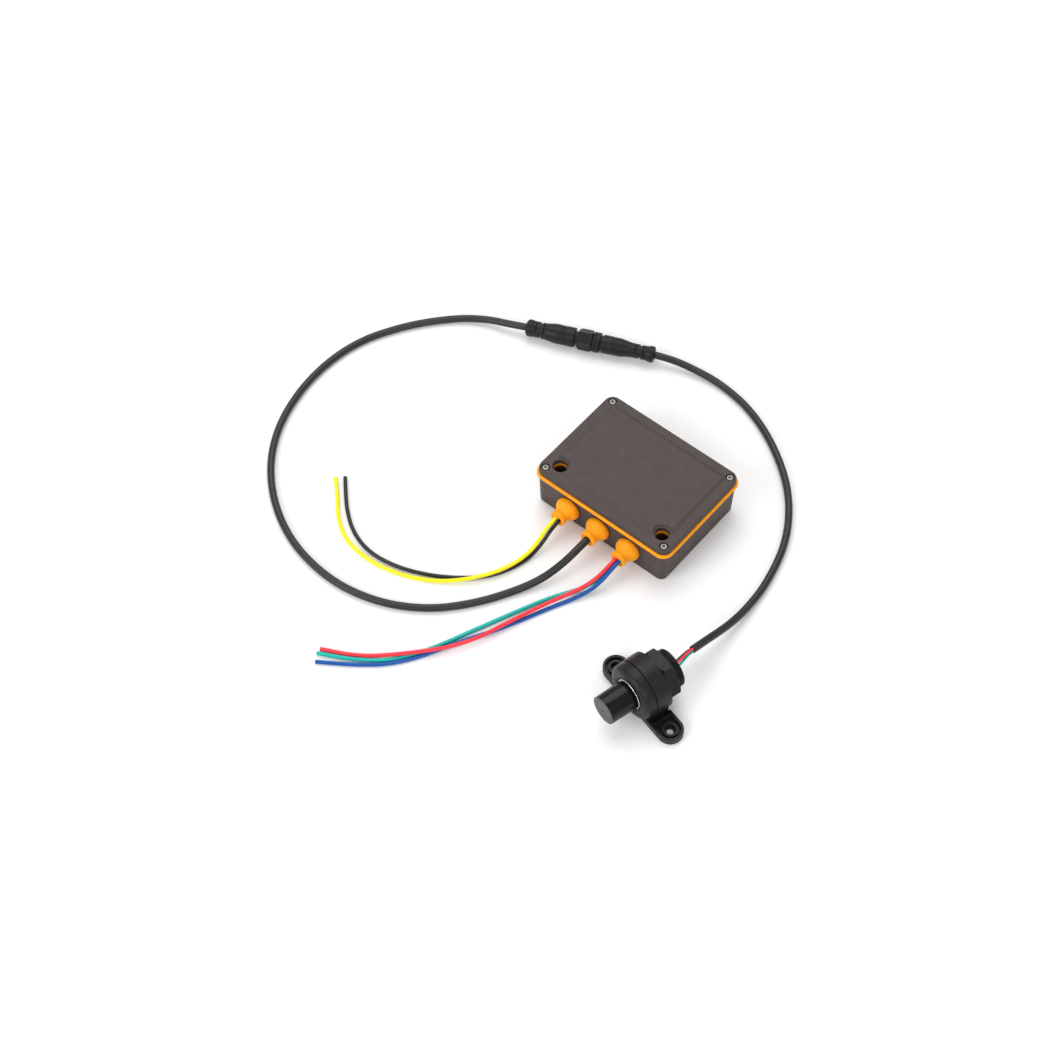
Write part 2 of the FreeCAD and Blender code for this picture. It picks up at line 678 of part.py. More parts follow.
def seal_ring():
    item = doc.addObject("Part::Torus", "seal_ring")
    bind(item, "Radius1", "seal_ring_radius")
    bind(item, "Radius2", "seal_section")
    place = connector_place()
    item.Placement = place * Placement(
        Vector(0, 0, size("stop_flange_end") + size("seal_section")), Rotation())
    item.Label = "seal_ring"
    return item


def crowned(name, corner, chamfer, low, high):
    """A hexagon whose corners are chamfered by a cone at each end."""
    blank = prism(name + "_hexagon", 6, corner, "%s - %s" % (high, low), low=low)
    for end in ("low", "high"):
        cone = doc.addObject("Part::Cone", "%s_cone_%s" % (name, end))
        wide = "%s - %s + %s - %s" % (corner, chamfer, high, low)
        narrow = "%s - %s" % (corner, chamfer)
        bind(cone, "Radius1", wide if end == "high" else narrow)
        bind(cone, "Radius2", narrow if end == "high" else wide)
        bind(cone, "Height", "%s - %s" % (high, low))
        bind(cone, "Placement.Base.z", low)
        trimmed = doc.addObject("Part::Common", "%s_trimmed_%s" % (name, end))
        trimmed.Base = blank
        trimmed.Tool = cone
        blank = trimmed
    return blank


def coupling_nut():
    """A captive hexagon nut with a thread cavity and a lip behind the stop flange."""
    blank = crowned("nut", "nut_corner", "nut_chamfer", "nut_start", "nut_end")
    cavity = cylinder("nut_cavity", "nut_bore", "nut_end - nut_lip_end + 1",
                      low="nut_lip_end")
    lip = cylinder("nut_lip", "nut_lip_bore", "nut_end - nut_start + 2", low="nut_start - 1")
    item = cut("coupling_nut", blank, joined("nut_tools", [cavity, lip]))
    item.Placement = connector_place(30.0)
    return item


def plug_shell():
    """The threaded sleeve and its shoulder ring, open towards the socket."""
    ridges = []
    for number in range(6):
        start = "thread_start + 0.5 + %d * thread_step" % number
        ridges += [(start, "thread_root"), (start + " + 0.3", "thread_crest"),
                   (start + " + 0.6", "thread_crest"), (start + " + 0.9", "thread_root")]
    body = turned("plug_shell", [("thread_start", "sleeve_bore"),
                                 ("thread_start", "thread_root")] + ridges + [
        ("thread_end", "thread_root"),
        ("ring_start", "thread_root"),
        ("ring_start", "ring_radius - 0.3"),
        ("ring_start + 0.3", "ring_radius"),
        ("ring_end - 0.3", "ring_radius"),
        ("ring_end", "ring_radius - 0.3"),
        ("ring_end", "0"),
        ("sleeve_floor", "0"),
        ("sleeve_floor", "sleeve_bore"),
    ])
    body.Placement = connector_place()
    return body


def plug_overmold():
    body = turned("plug_overmold", [
        ("ring_end", "0"), ("ring_end", "plug_gap_radius"),
        ("plug_gap_end", "plug_gap_radius"),
        ("plug_gap_end", "plug_body_radius - 0.5"),
        ("plug_gap_end + 0.5", "plug_body_radius"),
    ] + grooves("plug_gap_end + 7.6", "plug_body_radius") + [
        ("plug_body_end", "plug_body_radius"),
        ("plug_taper_end", "plug_neck_radius"),
        ("plug_neck_end", "plug_neck_radius"),
        ("plug_neck_end + 0.8", "plug_collar_radius"),
        ("plug_end - 0.8", "plug_collar_radius"),
        ("plug_end", "plug_collar_radius - 0.8"),
        ("plug_end", "0"),
    ])
    body.Placement = connector_place()
    return body


def plug_pins():
    item = grouped("plug_pins", ring_of_three("pin", "pin_radius", "sleeve_floor - pin_tip",
                                              "pin_tip"))
    item.Placement = connector_place()
    return item


# ---------------------------------------------------------------- sensor head

def head_place(turn=0.0):
    """Local Z runs along the head from the probe's face to the cable end."""
    aim = Rotation(Vector(0, 0, 1), size("head_yaw")) * Rotation(Vector(1, 0, 0), -90)
    spin = Rotation(Vector(0, 0, 1), turn)
    return Placement(Vector(size("head_x"), size("head_y"), size("axis_height")), aim * spin)


def head_piece(label, profile, turn=0.0):
    body = turned(label, profile)
    body.Placement = head_place(turn)
    return body


def tube_profile(front, rear, inner, outer):
    return [(front, inner), (front, outer), (rear, outer), (rear, inner)]


def head_housing():
    """The round-shouldered flange and the threaded barrel in one hollow moulding."""
    ridges = []
    for number in range(6):
        start = "barrel_thread_start + %d * barrel_pitch" % number
        ridges += [(start, "barrel_root"), (start + " + 0.6", "barrel_crest"),
                   (start + " + 1.1", "barrel_crest"), (start + " + 1.7", "barrel_root")]
    return head_piece("head_housing", [
        ("flange_front + 1.7", "flange_recess"),
        ("flange_front + 0.8", "flange_recess + 0.8"),
        ("flange_front + 0.1", "flange_lip_radius - 1.4"),
        ("flange_front", "flange_lip_radius"),
        ("flange_front + 0.3", "flange_lip_radius + 1.8"),
        ("flange_front + 1.1", "flange_lip_radius + 3.3"),
        ("flange_front + 2.3", "flange_radius - 0.4"),
        ("flange_shoulder", "flange_radius"),
        ("flange_rear", "flange_radius"),
        ("flange_rear", "barrel_radius"),
        ("barrel_thread_start - 1.2", "barrel_radius"),
        ("barrel_thread_start - 0.7", "barrel_root"),
    ] + ridges + [
        ("barrel_rear - 1.0", "barrel_root"),
        ("barrel_rear - 0.6", "barrel_crest - 0.2"),
        ("barrel_rear", "barrel_crest - 0.6"),
        ("barrel_rear", "barrel_bore"),
        ("inner_step", "barrel_bore"),
        ("inner_step", "probe_seat_bore"),
        ("collar_rear", "probe_seat_bore"),
        ("collar_rear", "flange_recess"),
    ])


def probe_sleeve():
    return head_piece("probe_sleeve", [
        ("face_front + face_rim_thick", "probe_bore"),
        ("face_front + face_rim_thick", "face_radius"),
        ("face_front + 9", "probe_radius"),
        ("probe_rear", "probe_radius"),
        ("probe_rear", "probe_bore"),
    ])


def probe_face():
    """The matching layer: a rimmed disc with a small centre hole."""
    return head_piece("probe_face", [
        ("face_front", "face_hole"),
        ("face_front", "face_radius - 0.4"),
        ("face_front + 0.4", "face_radius"),
        ("face_front + face_rim_thick", "face_radius"),
        ("face_front + face_rim_thick", "face_plug_radius"),
        ("face_plug_end", "face_plug_radius"),
        ("face_plug_end", "0"),
        ("face_front + face_hole_depth", "0"),
        ("face_front + face_hole_depth", "face_hole"),
    ])


def sensor_bracket():
    """The clamp ring on its saddle, with a dished foot that ends in two eared tongues."""
    body = new_body("sensor_bracket")
    foot = new_sketch(body)
    half = "(ear_spacing / 2)"
    add_rectangle(foot, "-" + half, half, "-ear_radius", "ear_radius")
    pad(body, foot, "ear_height")
    for sign in (-1, 1):
        end = new_sketch(body)
        add_circle(end, "%d * %s" % (sign, half), "0", "ear_radius")
        pad(body, end, "ear_height")
    front = new_sketch(body, "XZ_Plane", offset="ear_radius + 1")
    add_circle(front, "0", "axis_height", "flange_radius + relief_gap")
    pocket(body, front, "ear_radius + 1 + ring_front")
    rear = new_sketch(body, offset="ear_height")
    add_rectangle(rear, "-saddle_half", "saddle_half", "ring_rear", "ear_radius + 1")
    pocket(body, rear, "ear_height + 1")
    saddle = new_sketch(body, "XZ_Plane", offset="-ring_rear")
    add_rectangle(saddle, "-saddle_half", "saddle_half", "0", "saddle_height")
    pad(body, saddle, "ring_rear - ring_front")
    ring = new_sketch(body, "XZ_Plane", offset="-ring_rear")
    add_circle(ring, "0", "axis_height", "clamp_radius")
    pad(body, ring, "ring_rear - ring_front")
    bore = new_sketch(body, "XZ_Plane", offset="-ring_front + 1")
    add_circle(bore, "0", "axis_height", "clamp_bore")
    pocket(body, bore, "ring_rear - ring_front + 2")

    for sign in (-1, 1):
        dish = new_sketch(body, offset="ear_height")
        add_circle(dish, "%d * %s" % (sign, half), "0", "ear_radius - ear_wall")
        pocket(body, dish, "ear_height - ear_floor")
        for inner, outer in (("pocket_start", half), ("saddle_half", "rib_start")):
            deep = new_sketch(body, offset="ear_height")
            add_rectangle(deep, "%d * %s" % (sign, inner), "%d * %s" % (sign, outer),
                          "-(ear_radius - ear_wall)", "ear_radius - ear_wall")
            pocket(body, deep, "ear_height - ear_floor")
        boss = new_sketch(body, offset="ear_floor - 0.5")
        add_circle(boss, "%d * %s" % (sign, half), "0", "ear_boss")
        pad(body, boss, "ear_boss_height - ear_floor + 0.5")
        sink = new_sketch(body, offset="ear_boss_height")
        add_circle(sink, "%d * %s" % (sign, half), "0", "ear_sink")
        pocket(body, sink, "ear_boss_height - ear_land")
        hole = new_sketch(body, offset="ear_land")
        add_circle(hole, "%d * %s" % (sign, half), "0", "ear_hole")
        pocket(body, hole, "ear_land + 1")
    body.Placement = Placement(Vector(size("head_x"), size("head_y"), 0),
                               Rotation(Vector(0, 0, 1), size("head_yaw")))
    return body


def clamp_nut():
    blank = crowned("clamp", "clamp_nut_corner", "clamp_nut_chamfer", "clamp_nut_front",
                    "clamp_nut_rear")
    bore = cylinder("clamp_nut_hole", "clamp_nut_bore", "clamp_nut_rear - clamp_nut_front + 2",
                    low="clamp_nut_front - 1")
    item = cut("clamp_nut", blank, bore)
    item.Placement = head_place(size("clamp_nut_turn"))
    return item


# ---------------------------------------------------------------- cords

def rounded_path(points):
    """Straight runs joined by tangent arcs, each as large as its two runs allow."""
    edges = []
    radii = []
    start = points[0]
    for before, corner, after in zip(points, points[1:], points[2:]):
        back = before - corner
        ahead = after - corner
        turn = math.pi - back.getAngle(ahead)
        reach = 0.45 * min(back.Length, ahead.Length)
        radii.append(reach / math.tan(turn / 2))
        back.normalize()
        ahead.normalize()
        first = corner + back * reach
        last = corner + ahead * reach
        bisector = back + ahead
        bisector.normalize()
        rise = radii[-1] * (1 / math.cos(turn / 2) - 1)
        edges.append(Part.LineSegment(start, first).toShape())
        edges.append(Part.Arc(first, corner + bisector * rise, last).toShape())
        start = last
    edges.append(Part.LineSegment(start, points[-1]).toShape())
    return Part.Wire(edges), radii


def cord(label, radius_alias, route):
    """A round tube along a route of hand-set points."""
    radius = size(radius_alias)
    points = [Vector(*point) for point in route]
    path, radii = rounded_path(points)
    section = Part.Wire(Part.Circle(points[0], points[1] - points[0], radius).toShape())
    solid = path.makePipeShell([section], True, False)
    expected = math.pi * radius * radius * path.Length
    if abs(solid.Volume / expected - 1) > 0.01:
        raise RuntimeError(label + ": the tube's volume is not section times length")
    item = doc.addObject("Part::Feature", label)
    item.Label = label
    item.Shape = solid
    print("%s: length %.1f mm, radii %.1f to %.1f mm, low %.2f" % (
        label, path.Length, min(radii), max(radii), solid.optimalBoundingBox(True).ZMin))
    return item


EXIT = -size("exit_reach")
BOX_HIGH = size("grommet_height")
CABLE_LOW = size("cable_radius") + 0.05
WIRE_LOW = size("wire_radius") + 0.05
PITCH = size("grommet_pitch")
SPACE = size("wire_spacing")
YAW = math.radians(size("connector_yaw"))
ALONG = Vector(math.cos(YAW), math.sin(YAW), 0)
SOCKET_END = Vector(size("connector_x"), size("connector_y"), size("connector_z"))
PLUG_END = SOCKET_END + ALONG * size("plug_end")

CONNECTOR_CABLE = [
    (0, EXIT, BOX_HIGH), (-0.2, -63.5, 14.4), (-2.2, -76.5, 10.6), (-7.0, -91.5, 5.6),
    (-15.2, -107.5, CABLE_LOW), (-29.5, -132.5, CABLE_LOW), (-50.5, -156.5, CABLE_LOW),
    (-80.5, -174.0, CABLE_LOW), (-117.5, -181.2, CABLE_LOW), (-161.5, -173.8, CABLE_LOW),
    (-201.5, -149.5, CABLE_LOW), (-229.5, -114.0, CABLE_LOW), (-243.0, -68.0, CABLE_LOW),
    (-241.0, -22.0, CABLE_LOW), (-223.0, 15.0, CABLE_LOW), (-199.5, 43.5, CABLE_LOW + 0.1),
    (-180.5, 56.2, 4.4), tuple(SOCKET_END - ALONG * 13 + Vector(0, 0, -0.7)),
    tuple(SOCKET_END),
]

SENSOR_CABLE = [
    tuple(PLUG_END), tuple(PLUG_END + ALONG * 12 + Vector(0, 0, -0.7)),
    (-38.5, 114.6, 4.6), (-16.5, 117.6, CABLE_LOW), (14.0, 112.6, CABLE_LOW),
    (46.5, 96.6, CABLE_LOW), (77.0, 72.0, CABLE_LOW), (98.5, 39.5, CABLE_LOW),
    (108.3, 3.5, CABLE_LOW), (110.4, -23.0, 3.8), (110.2, -43.0, 8.2),
    (108.4, -61.0, 13.6), (106.4, -77.6, 17.6),
]

YELLOW_WIRE = [
    (-PITCH - SPACE, EXIT, BOX_HIGH), (-27.1, -61.0, 14.4), (-26.8, -69.0, 10.2),
    (-26.9, -78.0, 6.2), (-28.2, -88.5, 5.0), (-31.8, -101.5, 5.2), (-38.8, -114.2, 5.2),
    (-49.0, -125.8, 3.4), (-62.5, -136.6, WIRE_LOW), (-83.0, -147.2, WIRE_LOW),
    (-108.0, -152.2, WIRE_LOW), (-130.0, -149.6, WIRE_LOW), (-146.5, -139.8, WIRE_LOW),
    (-158.5, -126.8, WIRE_LOW), (-170.3, -116.0, WIRE_LOW),
]

BLACK_WIRE = [
    (-PITCH + SPACE, EXIT, BOX_HIGH), (-24.1, -61.0, 14.0), (-24.3, -69.0, 8.2),
    (-25.4, -77.5, 2.8), (-27.2, -87.6, WIRE_LOW), (-31.6, -100.3, WIRE_LOW),
    (-39.4, -113.0, WIRE_LOW), (-53.5, -125.6, WIRE_LOW), (-71.0, -136.6, WIRE_LOW),
    (-91.5, -144.6, WIRE_LOW), (-112.5, -146.9, WIRE_LOW), (-131.0, -141.4, WIRE_LOW),
    (-146.0, -131.0, WIRE_LOW), (-157.0, -120.3, WIRE_LOW), (-165.6, -111.4, WIRE_LOW),
]

RED_WIRE = [
    (PITCH - SPACE, EXIT, BOX_HIGH), (24.0, -61.0, 14.5), (22.4, -69.5, 10.4),
    (18.6, -79.0, 6.4), (13.4, -89.5, 4.9), (7.0, -104.5, 4.9), (0.9, -121.0, 4.9),
    (-5.0, -137.5, 4.9), (-10.8, -154.3, 4.9), (-20.0, -170.2, 4.9), (-32.0, -184.5, 4.9),
    (-44.8, -197.4, 3.7), (-58.5, -208.4, WIRE_LOW), (-72.0, -217.0, WIRE_LOW),
    (-85.0, -223.2, WIRE_LOW),
]

GREEN_WIRE = [
    (PITCH, EXIT, BOX_HIGH - 2.6), (25.2, -60.5, 11.8), (22.8, -69.0, 7.2),
    (17.2, -78.1, 2.6), (10.5, -87.7, WIRE_LOW), (3.0, -100.9, WIRE_LOW),
    (-4.3, -117.4, WIRE_LOW), (-11.2, -133.6, WIRE_LOW), (-18.6, -150.9, WIRE_LOW),
    (-25.9, -168.9, WIRE_LOW), (-34.8, -187.0, WIRE_LOW), (-46.5, -202.9, WIRE_LOW),
    (-60.8, -213.9, WIRE_LOW), (-73.7, -221.4, WIRE_LOW), (-84.5, -227.0, WIRE_LOW),
]

BLUE_WIRE = [
    (PITCH + SPACE, EXIT, BOX_HIGH), (27.0, -61.0, 14.3), (26.0, -69.5, 9.6),
    (22.2, -79.5, 4.2), (16.4, -90.0, WIRE_LOW), (9.0, -105.0, WIRE_LOW),
    (2.2, -121.0, WIRE_LOW), (-5.2, -137.0, WIRE_LOW), (-14.0, -152.5, WIRE_LOW),
    (-23.0, -169.7, WIRE_LOW), (-32.3, -188.4, WIRE_LOW), (-43.8, -204.4, WIRE_LOW),
    (-58.1, -216.6, WIRE_LOW), (-70.1, -225.2, WIRE_LOW), (-80.8, -232.4, WIRE_LOW),
]


def core(label, turn):
    """One conductor of the sensor cable, bowed from the jacket's end into the potting."""
    aim = Rotation(Vector(0, 0, 1), size("head_yaw"))
    rear = Vector(size("head_x"), size("head_y"), size("axis_height"))
    axis = aim.multVec(Vector(0, 1, 0))
    side = aim.multVec(Vector(1, 0, 0))
    jacket = Vector(*SENSOR_CABLE[-1])
    inward = jacket - Vector(*SENSOR_CABLE[-2])
    inward.normalize()
    across = Vector(0, 0, 1).cross(inward)
    across.normalize()
    above = inward.cross(across)
    sideways = math.cos(math.radians(turn))
    upwards = math.sin(math.radians(turn))
    spread = across * sideways + above * upwards
    seat = rear + axis * size("potting_rear") + side * (sideways * 1.9)
    seat += Vector(0, 0, upwards * 1.9)
    route = [jacket + spread * 1.1, jacket + inward * 5 + spread * 1.35, seat + axis * 6, seat]
    return cord(label, "core_radius", [tuple(point) for point in route])


# ---------------------------------------------------------------- every sub-part

def power_sites():
    return [("-grommet_pitch - wire_spacing", "grommet_height"),
            ("-grommet_pitch + wire_spacing", "grommet_height")]


def signal_sites():
    return [("grommet_pitch - wire_spacing", "grommet_height"),
            ("grommet_pitch + wire_spacing", "grommet_height"),
            ("grommet_pitch", "grommet_height - wire_drop")]


sub_parts = [
    enclosure_base(), enclosure_lid(), lid_gasket(), lid_screws(), threaded_inserts(),
    grommet("power_grommet", -1), grommet("sensor_grommet", 0), grommet("signal_grommet", 1),
    circuit_board(), board_screws(),
    terminal("power_terminal", -1, 2), terminal("sensor_terminal", 0, 3),
    terminal("signal_terminal", 1, 3),
    wire_leads("power_leads", power_sites(), "wire_radius"),
    wire_leads("sensor_lead", [("0", "grommet_height")], "cable_radius"),
    wire_leads("signal_leads", signal_sites(), "wire_radius"),
    transformer_core(), transformer_coil(), capacitors(),
    block_part("microcontroller", "12", "12", "1.6", "8", "-6"),
    block_part("driver_chip", "10", "6", "1.8", "-12", "-6"),
    block_part("crystal", "11", "4.5", "3.5", "24", "-5"),
    block_part("voltage_regulator", "10", "4.6", "9", "35", "10"),
    socket_overmold(), socket_insert(), socket_contacts(), seal_ring(), coupling_nut(),
    plug_shell(), plug_overmold(), plug_pins(),
    sensor_bracket(), head_housing(), probe_sleeve(), probe_face(),
    head_piece("piezo_disc", [
        ("face_plug_end", "0"), ("face_plug_end", "piezo_radius"),
        ("face_plug_end + piezo_thick", "piezo_radius"),
        ("face_plug_end + piezo_thick", "0")]),
    head_piece("damping_pad", [
        ("face_plug_end + piezo_thick", "0"),
        ("face_plug_end + piezo_thick", "probe_bore"),
        ("pad_rear", "probe_bore"), ("pad_rear", "0")]),
    head_piece("probe_collar", [
        ("collar_front", "collar_bore"), ("collar_front", "collar_radius - 0.4"),
        ("collar_front + 0.4", "collar_radius"), ("collar_rear", "collar_radius"),
        ("collar_rear", "collar_bore")]),
    head_piece("flange_seal", tube_profile("flange_rear", "ring_front",
                                           "flange_seal_inner", "flange_seal_outer")),
    head_piece("rear_potting", [
        ("potting_front", "0"), ("potting_front", "barrel_bore"),
        ("potting_rear", "barrel_bore"), ("potting_rear", "0")]),
    head_piece("clamp_washer", tube_profile("washer_front", "washer_rear",
                                            "washer_inner", "washer_outer")),
    clamp_nut(),
    cord("connector_cable", "cable_radius", CONNECTOR_CABLE),
    cord("sensor_cable", "cable_radius", SENSOR_CABLE),
    cord("yellow_wire", "wire_radius", YELLOW_WIRE),
    cord("black_wire", "wire_radius", BLACK_WIRE),
    cord("red_wire", "wire_radius", RED_WIRE),
    cord("green_wire", "wire_radius", GREEN_WIRE),
    cord("blue_wire", "wire_radius", BLUE_WIRE),
    core("core_black", 200), core("core_red", 80), core("core_green", 320),
]

doc.recompute()

for item in doc.Objects:
    broken = [state for state in item.State if state in ("Invalid", "Error")]
    if broken:
        raise RuntimeError("%s failed: %s" % (item.Label, broken))
for item in sub_parts:
    if item.Shape.isNull() or not item.Shape.isValid():
        raise RuntimeError(item.Label + " has no valid shape")

os.makedirs("parts", exist_ok=True)
for item in sub_parts:
    item.Shape.exportStep("parts/%s.step" % item.Label)
print("sub-parts written: %d" % len(sub_parts))
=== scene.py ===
import json
import math

import bmesh
import bpy
from mathutils import Matrix, Vector


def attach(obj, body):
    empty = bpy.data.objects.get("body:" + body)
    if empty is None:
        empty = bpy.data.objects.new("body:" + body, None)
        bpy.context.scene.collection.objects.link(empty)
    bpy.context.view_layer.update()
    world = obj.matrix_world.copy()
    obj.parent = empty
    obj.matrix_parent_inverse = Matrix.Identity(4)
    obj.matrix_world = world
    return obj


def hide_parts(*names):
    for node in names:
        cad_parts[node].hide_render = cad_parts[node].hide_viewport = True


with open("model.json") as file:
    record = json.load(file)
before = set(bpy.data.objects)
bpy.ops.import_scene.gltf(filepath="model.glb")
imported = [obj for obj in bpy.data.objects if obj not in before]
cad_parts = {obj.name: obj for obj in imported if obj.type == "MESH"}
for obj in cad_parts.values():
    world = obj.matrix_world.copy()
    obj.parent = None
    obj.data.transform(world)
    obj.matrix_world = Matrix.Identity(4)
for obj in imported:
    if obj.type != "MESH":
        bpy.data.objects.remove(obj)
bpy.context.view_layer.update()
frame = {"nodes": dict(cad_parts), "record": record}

# Ultrasonic distance sensor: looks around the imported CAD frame. Turned and moulded pieces
# are made here as meshes in their own axes, in millimetres, and placed in metres.

MM = 0.001
NODES = frame["nodes"]
scene = bpy.context.scene
TURN = 2 * math.pi

# ---------------------------------------------------------------- camera, floor and light

AZIMUTH = math.radians(39.75)
ELEVATION = math.radians(55.55)
CAMERA_REACH = 1.45
TARGET = Vector((-0.0407, -0.06344, 0.0))


def make_camera():
    data = bpy.data.cameras.new("camera")
    data.sensor_width = 36.0
    data.lens = 72.98
    data.clip_end = 20.0
    camera = bpy.data.objects.new("camera", data)
    scene.collection.objects.link(camera)
    back = Vector((math.cos(ELEVATION) * math.sin(AZIMUTH),
                   -math.cos(ELEVATION) * math.cos(AZIMUTH),
                   math.sin(ELEVATION)))
    camera.location = TARGET + back * CAMERA_REACH
    camera.rotation_euler = back.to_track_quat("Z", "Y").to_euler()
    scene.camera = camera


def add_light(name, place, width, power):
    data = bpy.data.lights.new(name, "AREA")
    data.shape = "DISK"
    data.size = width
    data.energy = power
    light = bpy.data.objects.new(name, data)
    light.location = place
    light.rotation_euler = (Vector(place) - TARGET).to_track_quat("Z", "Y").to_euler()
    scene.collection.objects.link(light)


def make_stage():
    """A pale floor under a white sky, with a large key light, a fill and a front light."""
    scene.view_settings.view_transform = "Standard"
    world = bpy.data.worlds.new("studio")
    world.use_nodes = True
    sky = world.node_tree.nodes["Background"]
    sky.inputs["Color"].default_value = (1.0, 1.0, 1.0, 1)
    sky.inputs["Strength"].default_value = 0.62
    scene.world = world
    mesh = bpy.data.meshes.new("floor")
    reach = 4.0
    mesh.from_pydata([(-reach, -reach, -1e-4), (reach, -reach, -1e-4), (reach, reach, -1e-4),
                      (-reach, reach, -1e-4)], [], [(0, 1, 2, 3)])
    floor = bpy.data.objects.new("floor", mesh)
    scene.collection.objects.link(floor)
    floor.data.materials.append(floor_look())
    add_light("key", (-0.8, 0.7, 2.0), 2.1, 27)
    add_light("fill", (1.5, -0.9, 1.3), 1.4, 12)
    add_light("front", (-0.5, -1.6, 1.0), 1.4, 17)


# ---------------------------------------------------------------- looks

class Look:
    """A material's node tree, with short calls for the nodes used here."""

    def __init__(self, name, **values):
        self.material = bpy.data.materials.new(name)
        self.material.use_nodes = True
        self.tree = self.material.node_tree
        self.shader = self.tree.nodes["Principled BSDF"]
        for socket, value in values.items():
            self.shader.inputs[socket.replace("_", " ")].default_value = value
        self.place = self.node("ShaderNodeTexCoord").outputs["Object"]

    def node(self, kind, **inputs):
        made = self.tree.nodes.new(kind)
        for name, value in inputs.items():
            self.feed(made.inputs[name.replace("_", " ")], value)
        return made

    def feed(self, socket, value):
        if isinstance(value, bpy.types.NodeSocket):
            self.tree.links.new(value, socket)
        else:
            socket.default_value = value

    def noise(self, scale, detail=3.0, stretch=None):
        place = self.place
        if stretch:
            place = self.node("ShaderNodeMapping", Vector=place, Scale=stretch).outputs[0]
        return self.node("ShaderNodeTexNoise", Vector=place, Scale=scale,
                         Detail=detail).outputs["Fac"]

    def span(self, value, low, high, to_low=0.0, to_high=1.0):
        """`value` mapped from low..high to another span, held at its ends."""
        made = self.node("ShaderNodeMapRange", Value=value)
        for name, number in (("From Min", low), ("From Max", high), ("To Min", to_low),
                             ("To Max", to_high)):
            made.inputs[name].default_value = number
        return made.outputs[0]

    def sum(self, kind, first, second):
        made = self.node("ShaderNodeMath")
        made.operation = kind
        self.feed(made.inputs[0], first)
        self.feed(made.inputs[1], second)
        return made.outputs[0]

    def vector(self, kind, first, second=(0, 0, 0)):
        made = self.node("ShaderNodeVectorMath")
        made.operation = kind
        self.feed(made.inputs[0], first)
        self.feed(made.inputs[1], second)
        return made.outputs["Value"] if kind == "DOT_PRODUCT" else made.outputs["Vector"]

    def blend(self, amount, first, second):
        made = self.node("ShaderNodeMix")
        made.data_type = "RGBA"
        self.feed(made.inputs[0], amount)
        self.feed(made.inputs[6], first)
        self.feed(made.inputs[7], second)
        return made.outputs[2]

    def edges(self, width):
        """A mask that is 1 along convex and concave edges up to `width` metres wide."""
        made = self.node("ShaderNodeBevel", Radius=width)
        made.samples = 4
        plain = self.node("ShaderNodeNewGeometry").outputs["Normal"]
        agreement = self.vector("DOT_PRODUCT", made.outputs[0], plain)
        return self.span(agreement, 0.995, 0.86)

    def finish(self, heights, rounding=0.0):
        """Bumps from (height, depth in metres) pairs, over edges softened by `rounding`."""
        normal = None
        if rounding:
            bevel = self.node("ShaderNodeBevel", Radius=rounding)
            bevel.samples = 4
            normal = bevel.outputs[0]
        for height, depth in heights:
            bump = self.node("ShaderNodeBump", Height=height, Distance=depth)
            if normal:
                self.feed(bump.inputs["Normal"], normal)
            normal = bump.outputs[0]
        if normal:
            self.feed(self.shader.inputs["Normal"], normal)
        return self.material


def shade(colour, factor):
    return tuple(min(1.0, part * factor) for part in colour[:3]) + (1.0,)


def moulded(name, colour, roughness, grain=2600.0, depth=6e-5, mottle=0.16, wear_and_sheen=0.35,
            wear_and_sheen_gain=2.6, **values):
    """A moulded plastic: fine spark grain, flow mottling, and edges paler from wear and from
    painted highlight.
    """
    look = Look(name, **values)
    cloud = look.noise(60.0, 4.0)
    base = look.blend(look.span(cloud, 0.3, 0.7), shade(colour, 1 - mottle),
                      shade(colour, 1 + mottle))
    dust = look.noise(900.0, 5.0)
    # Edge mask: paler edges stand partly for rubbing wear and partly for a painted highlight
    # along the edges.
    rub_and_sheen = look.sum("MULTIPLY", look.edges(3.5e-4), look.span(dust, 0.42, 0.62, 0.15, 1.0))
    rubbed_and_sheen = look.sum("MULTIPLY", rub_and_sheen, wear_and_sheen)
    look.feed(look.shader.inputs["Base Color"],
              look.blend(rubbed_and_sheen, base, shade(colour, wear_and_sheen_gain)))
    patches = look.noise(220.0, 3.0)
    look.feed(look.shader.inputs["Roughness"],
              look.span(patches, 0.3, 0.7, roughness - 0.05, roughness + 0.07))
    return look.finish([(look.noise(grain, 2.0), depth), (look.noise(140.0), 5e-5)], 2.5e-4)


def floor_look():
    look = Look("floor_paper", Roughness=0.85)
    tone = look.span(look.noise(4.0), 0.3, 0.7)
    look.feed(look.shader.inputs["Base Color"],
              look.blend(tone, (0.86, 0.86, 0.86, 1), (0.89, 0.89, 0.89, 1)))
    return look.finish([(look.noise(900.0), 2e-5)])


def box_look():
    """Warm dark grey ABS, with a faint honeycomb printed on the lid's top, and edges paler from
    wear and from painted highlight.
    """
    colour = (0.056, 0.0415, 0.0375)
    look = Look("box_plastic", Specular_IOR_Level=0.3)
    cloud = look.noise(45.0, 4.0)
    base = look.blend(look.span(cloud, 0.3, 0.7), shade(colour, 0.96), shade(colour, 1.04))
    lines = honeycomb(look)
    printed = look.blend(look.sum("MULTIPLY", lines, 0.55), base, shade(colour, 0.6))
    dust = look.noise(700.0, 5.0)
    # Paler edges: partly wear, partly a painted highlight along the rims.
    rub_and_sheen = look.sum("MULTIPLY", look.edges(4.5e-4), look.span(dust, 0.4, 0.62, 0.2, 1.0))
    worn_and_sheen = look.blend(look.sum("MULTIPLY", rub_and_sheen, 0.4), printed, (0.17, 0.14, 0.13, 1))
    look.feed(look.shader.inputs["Base Color"], worn_and_sheen)
    rough = look.span(look.noise(180.0), 0.3, 0.7, 0.46, 0.58)
    look.feed(look.shader.inputs["Roughness"],
              look.sum("SUBTRACT", rough, look.sum("MULTIPLY", lines, 0.08)))
    return look.finish([(look.noise(2300.0, 2.0), 9e-5), (lines, 3e-5)], 3e-4)


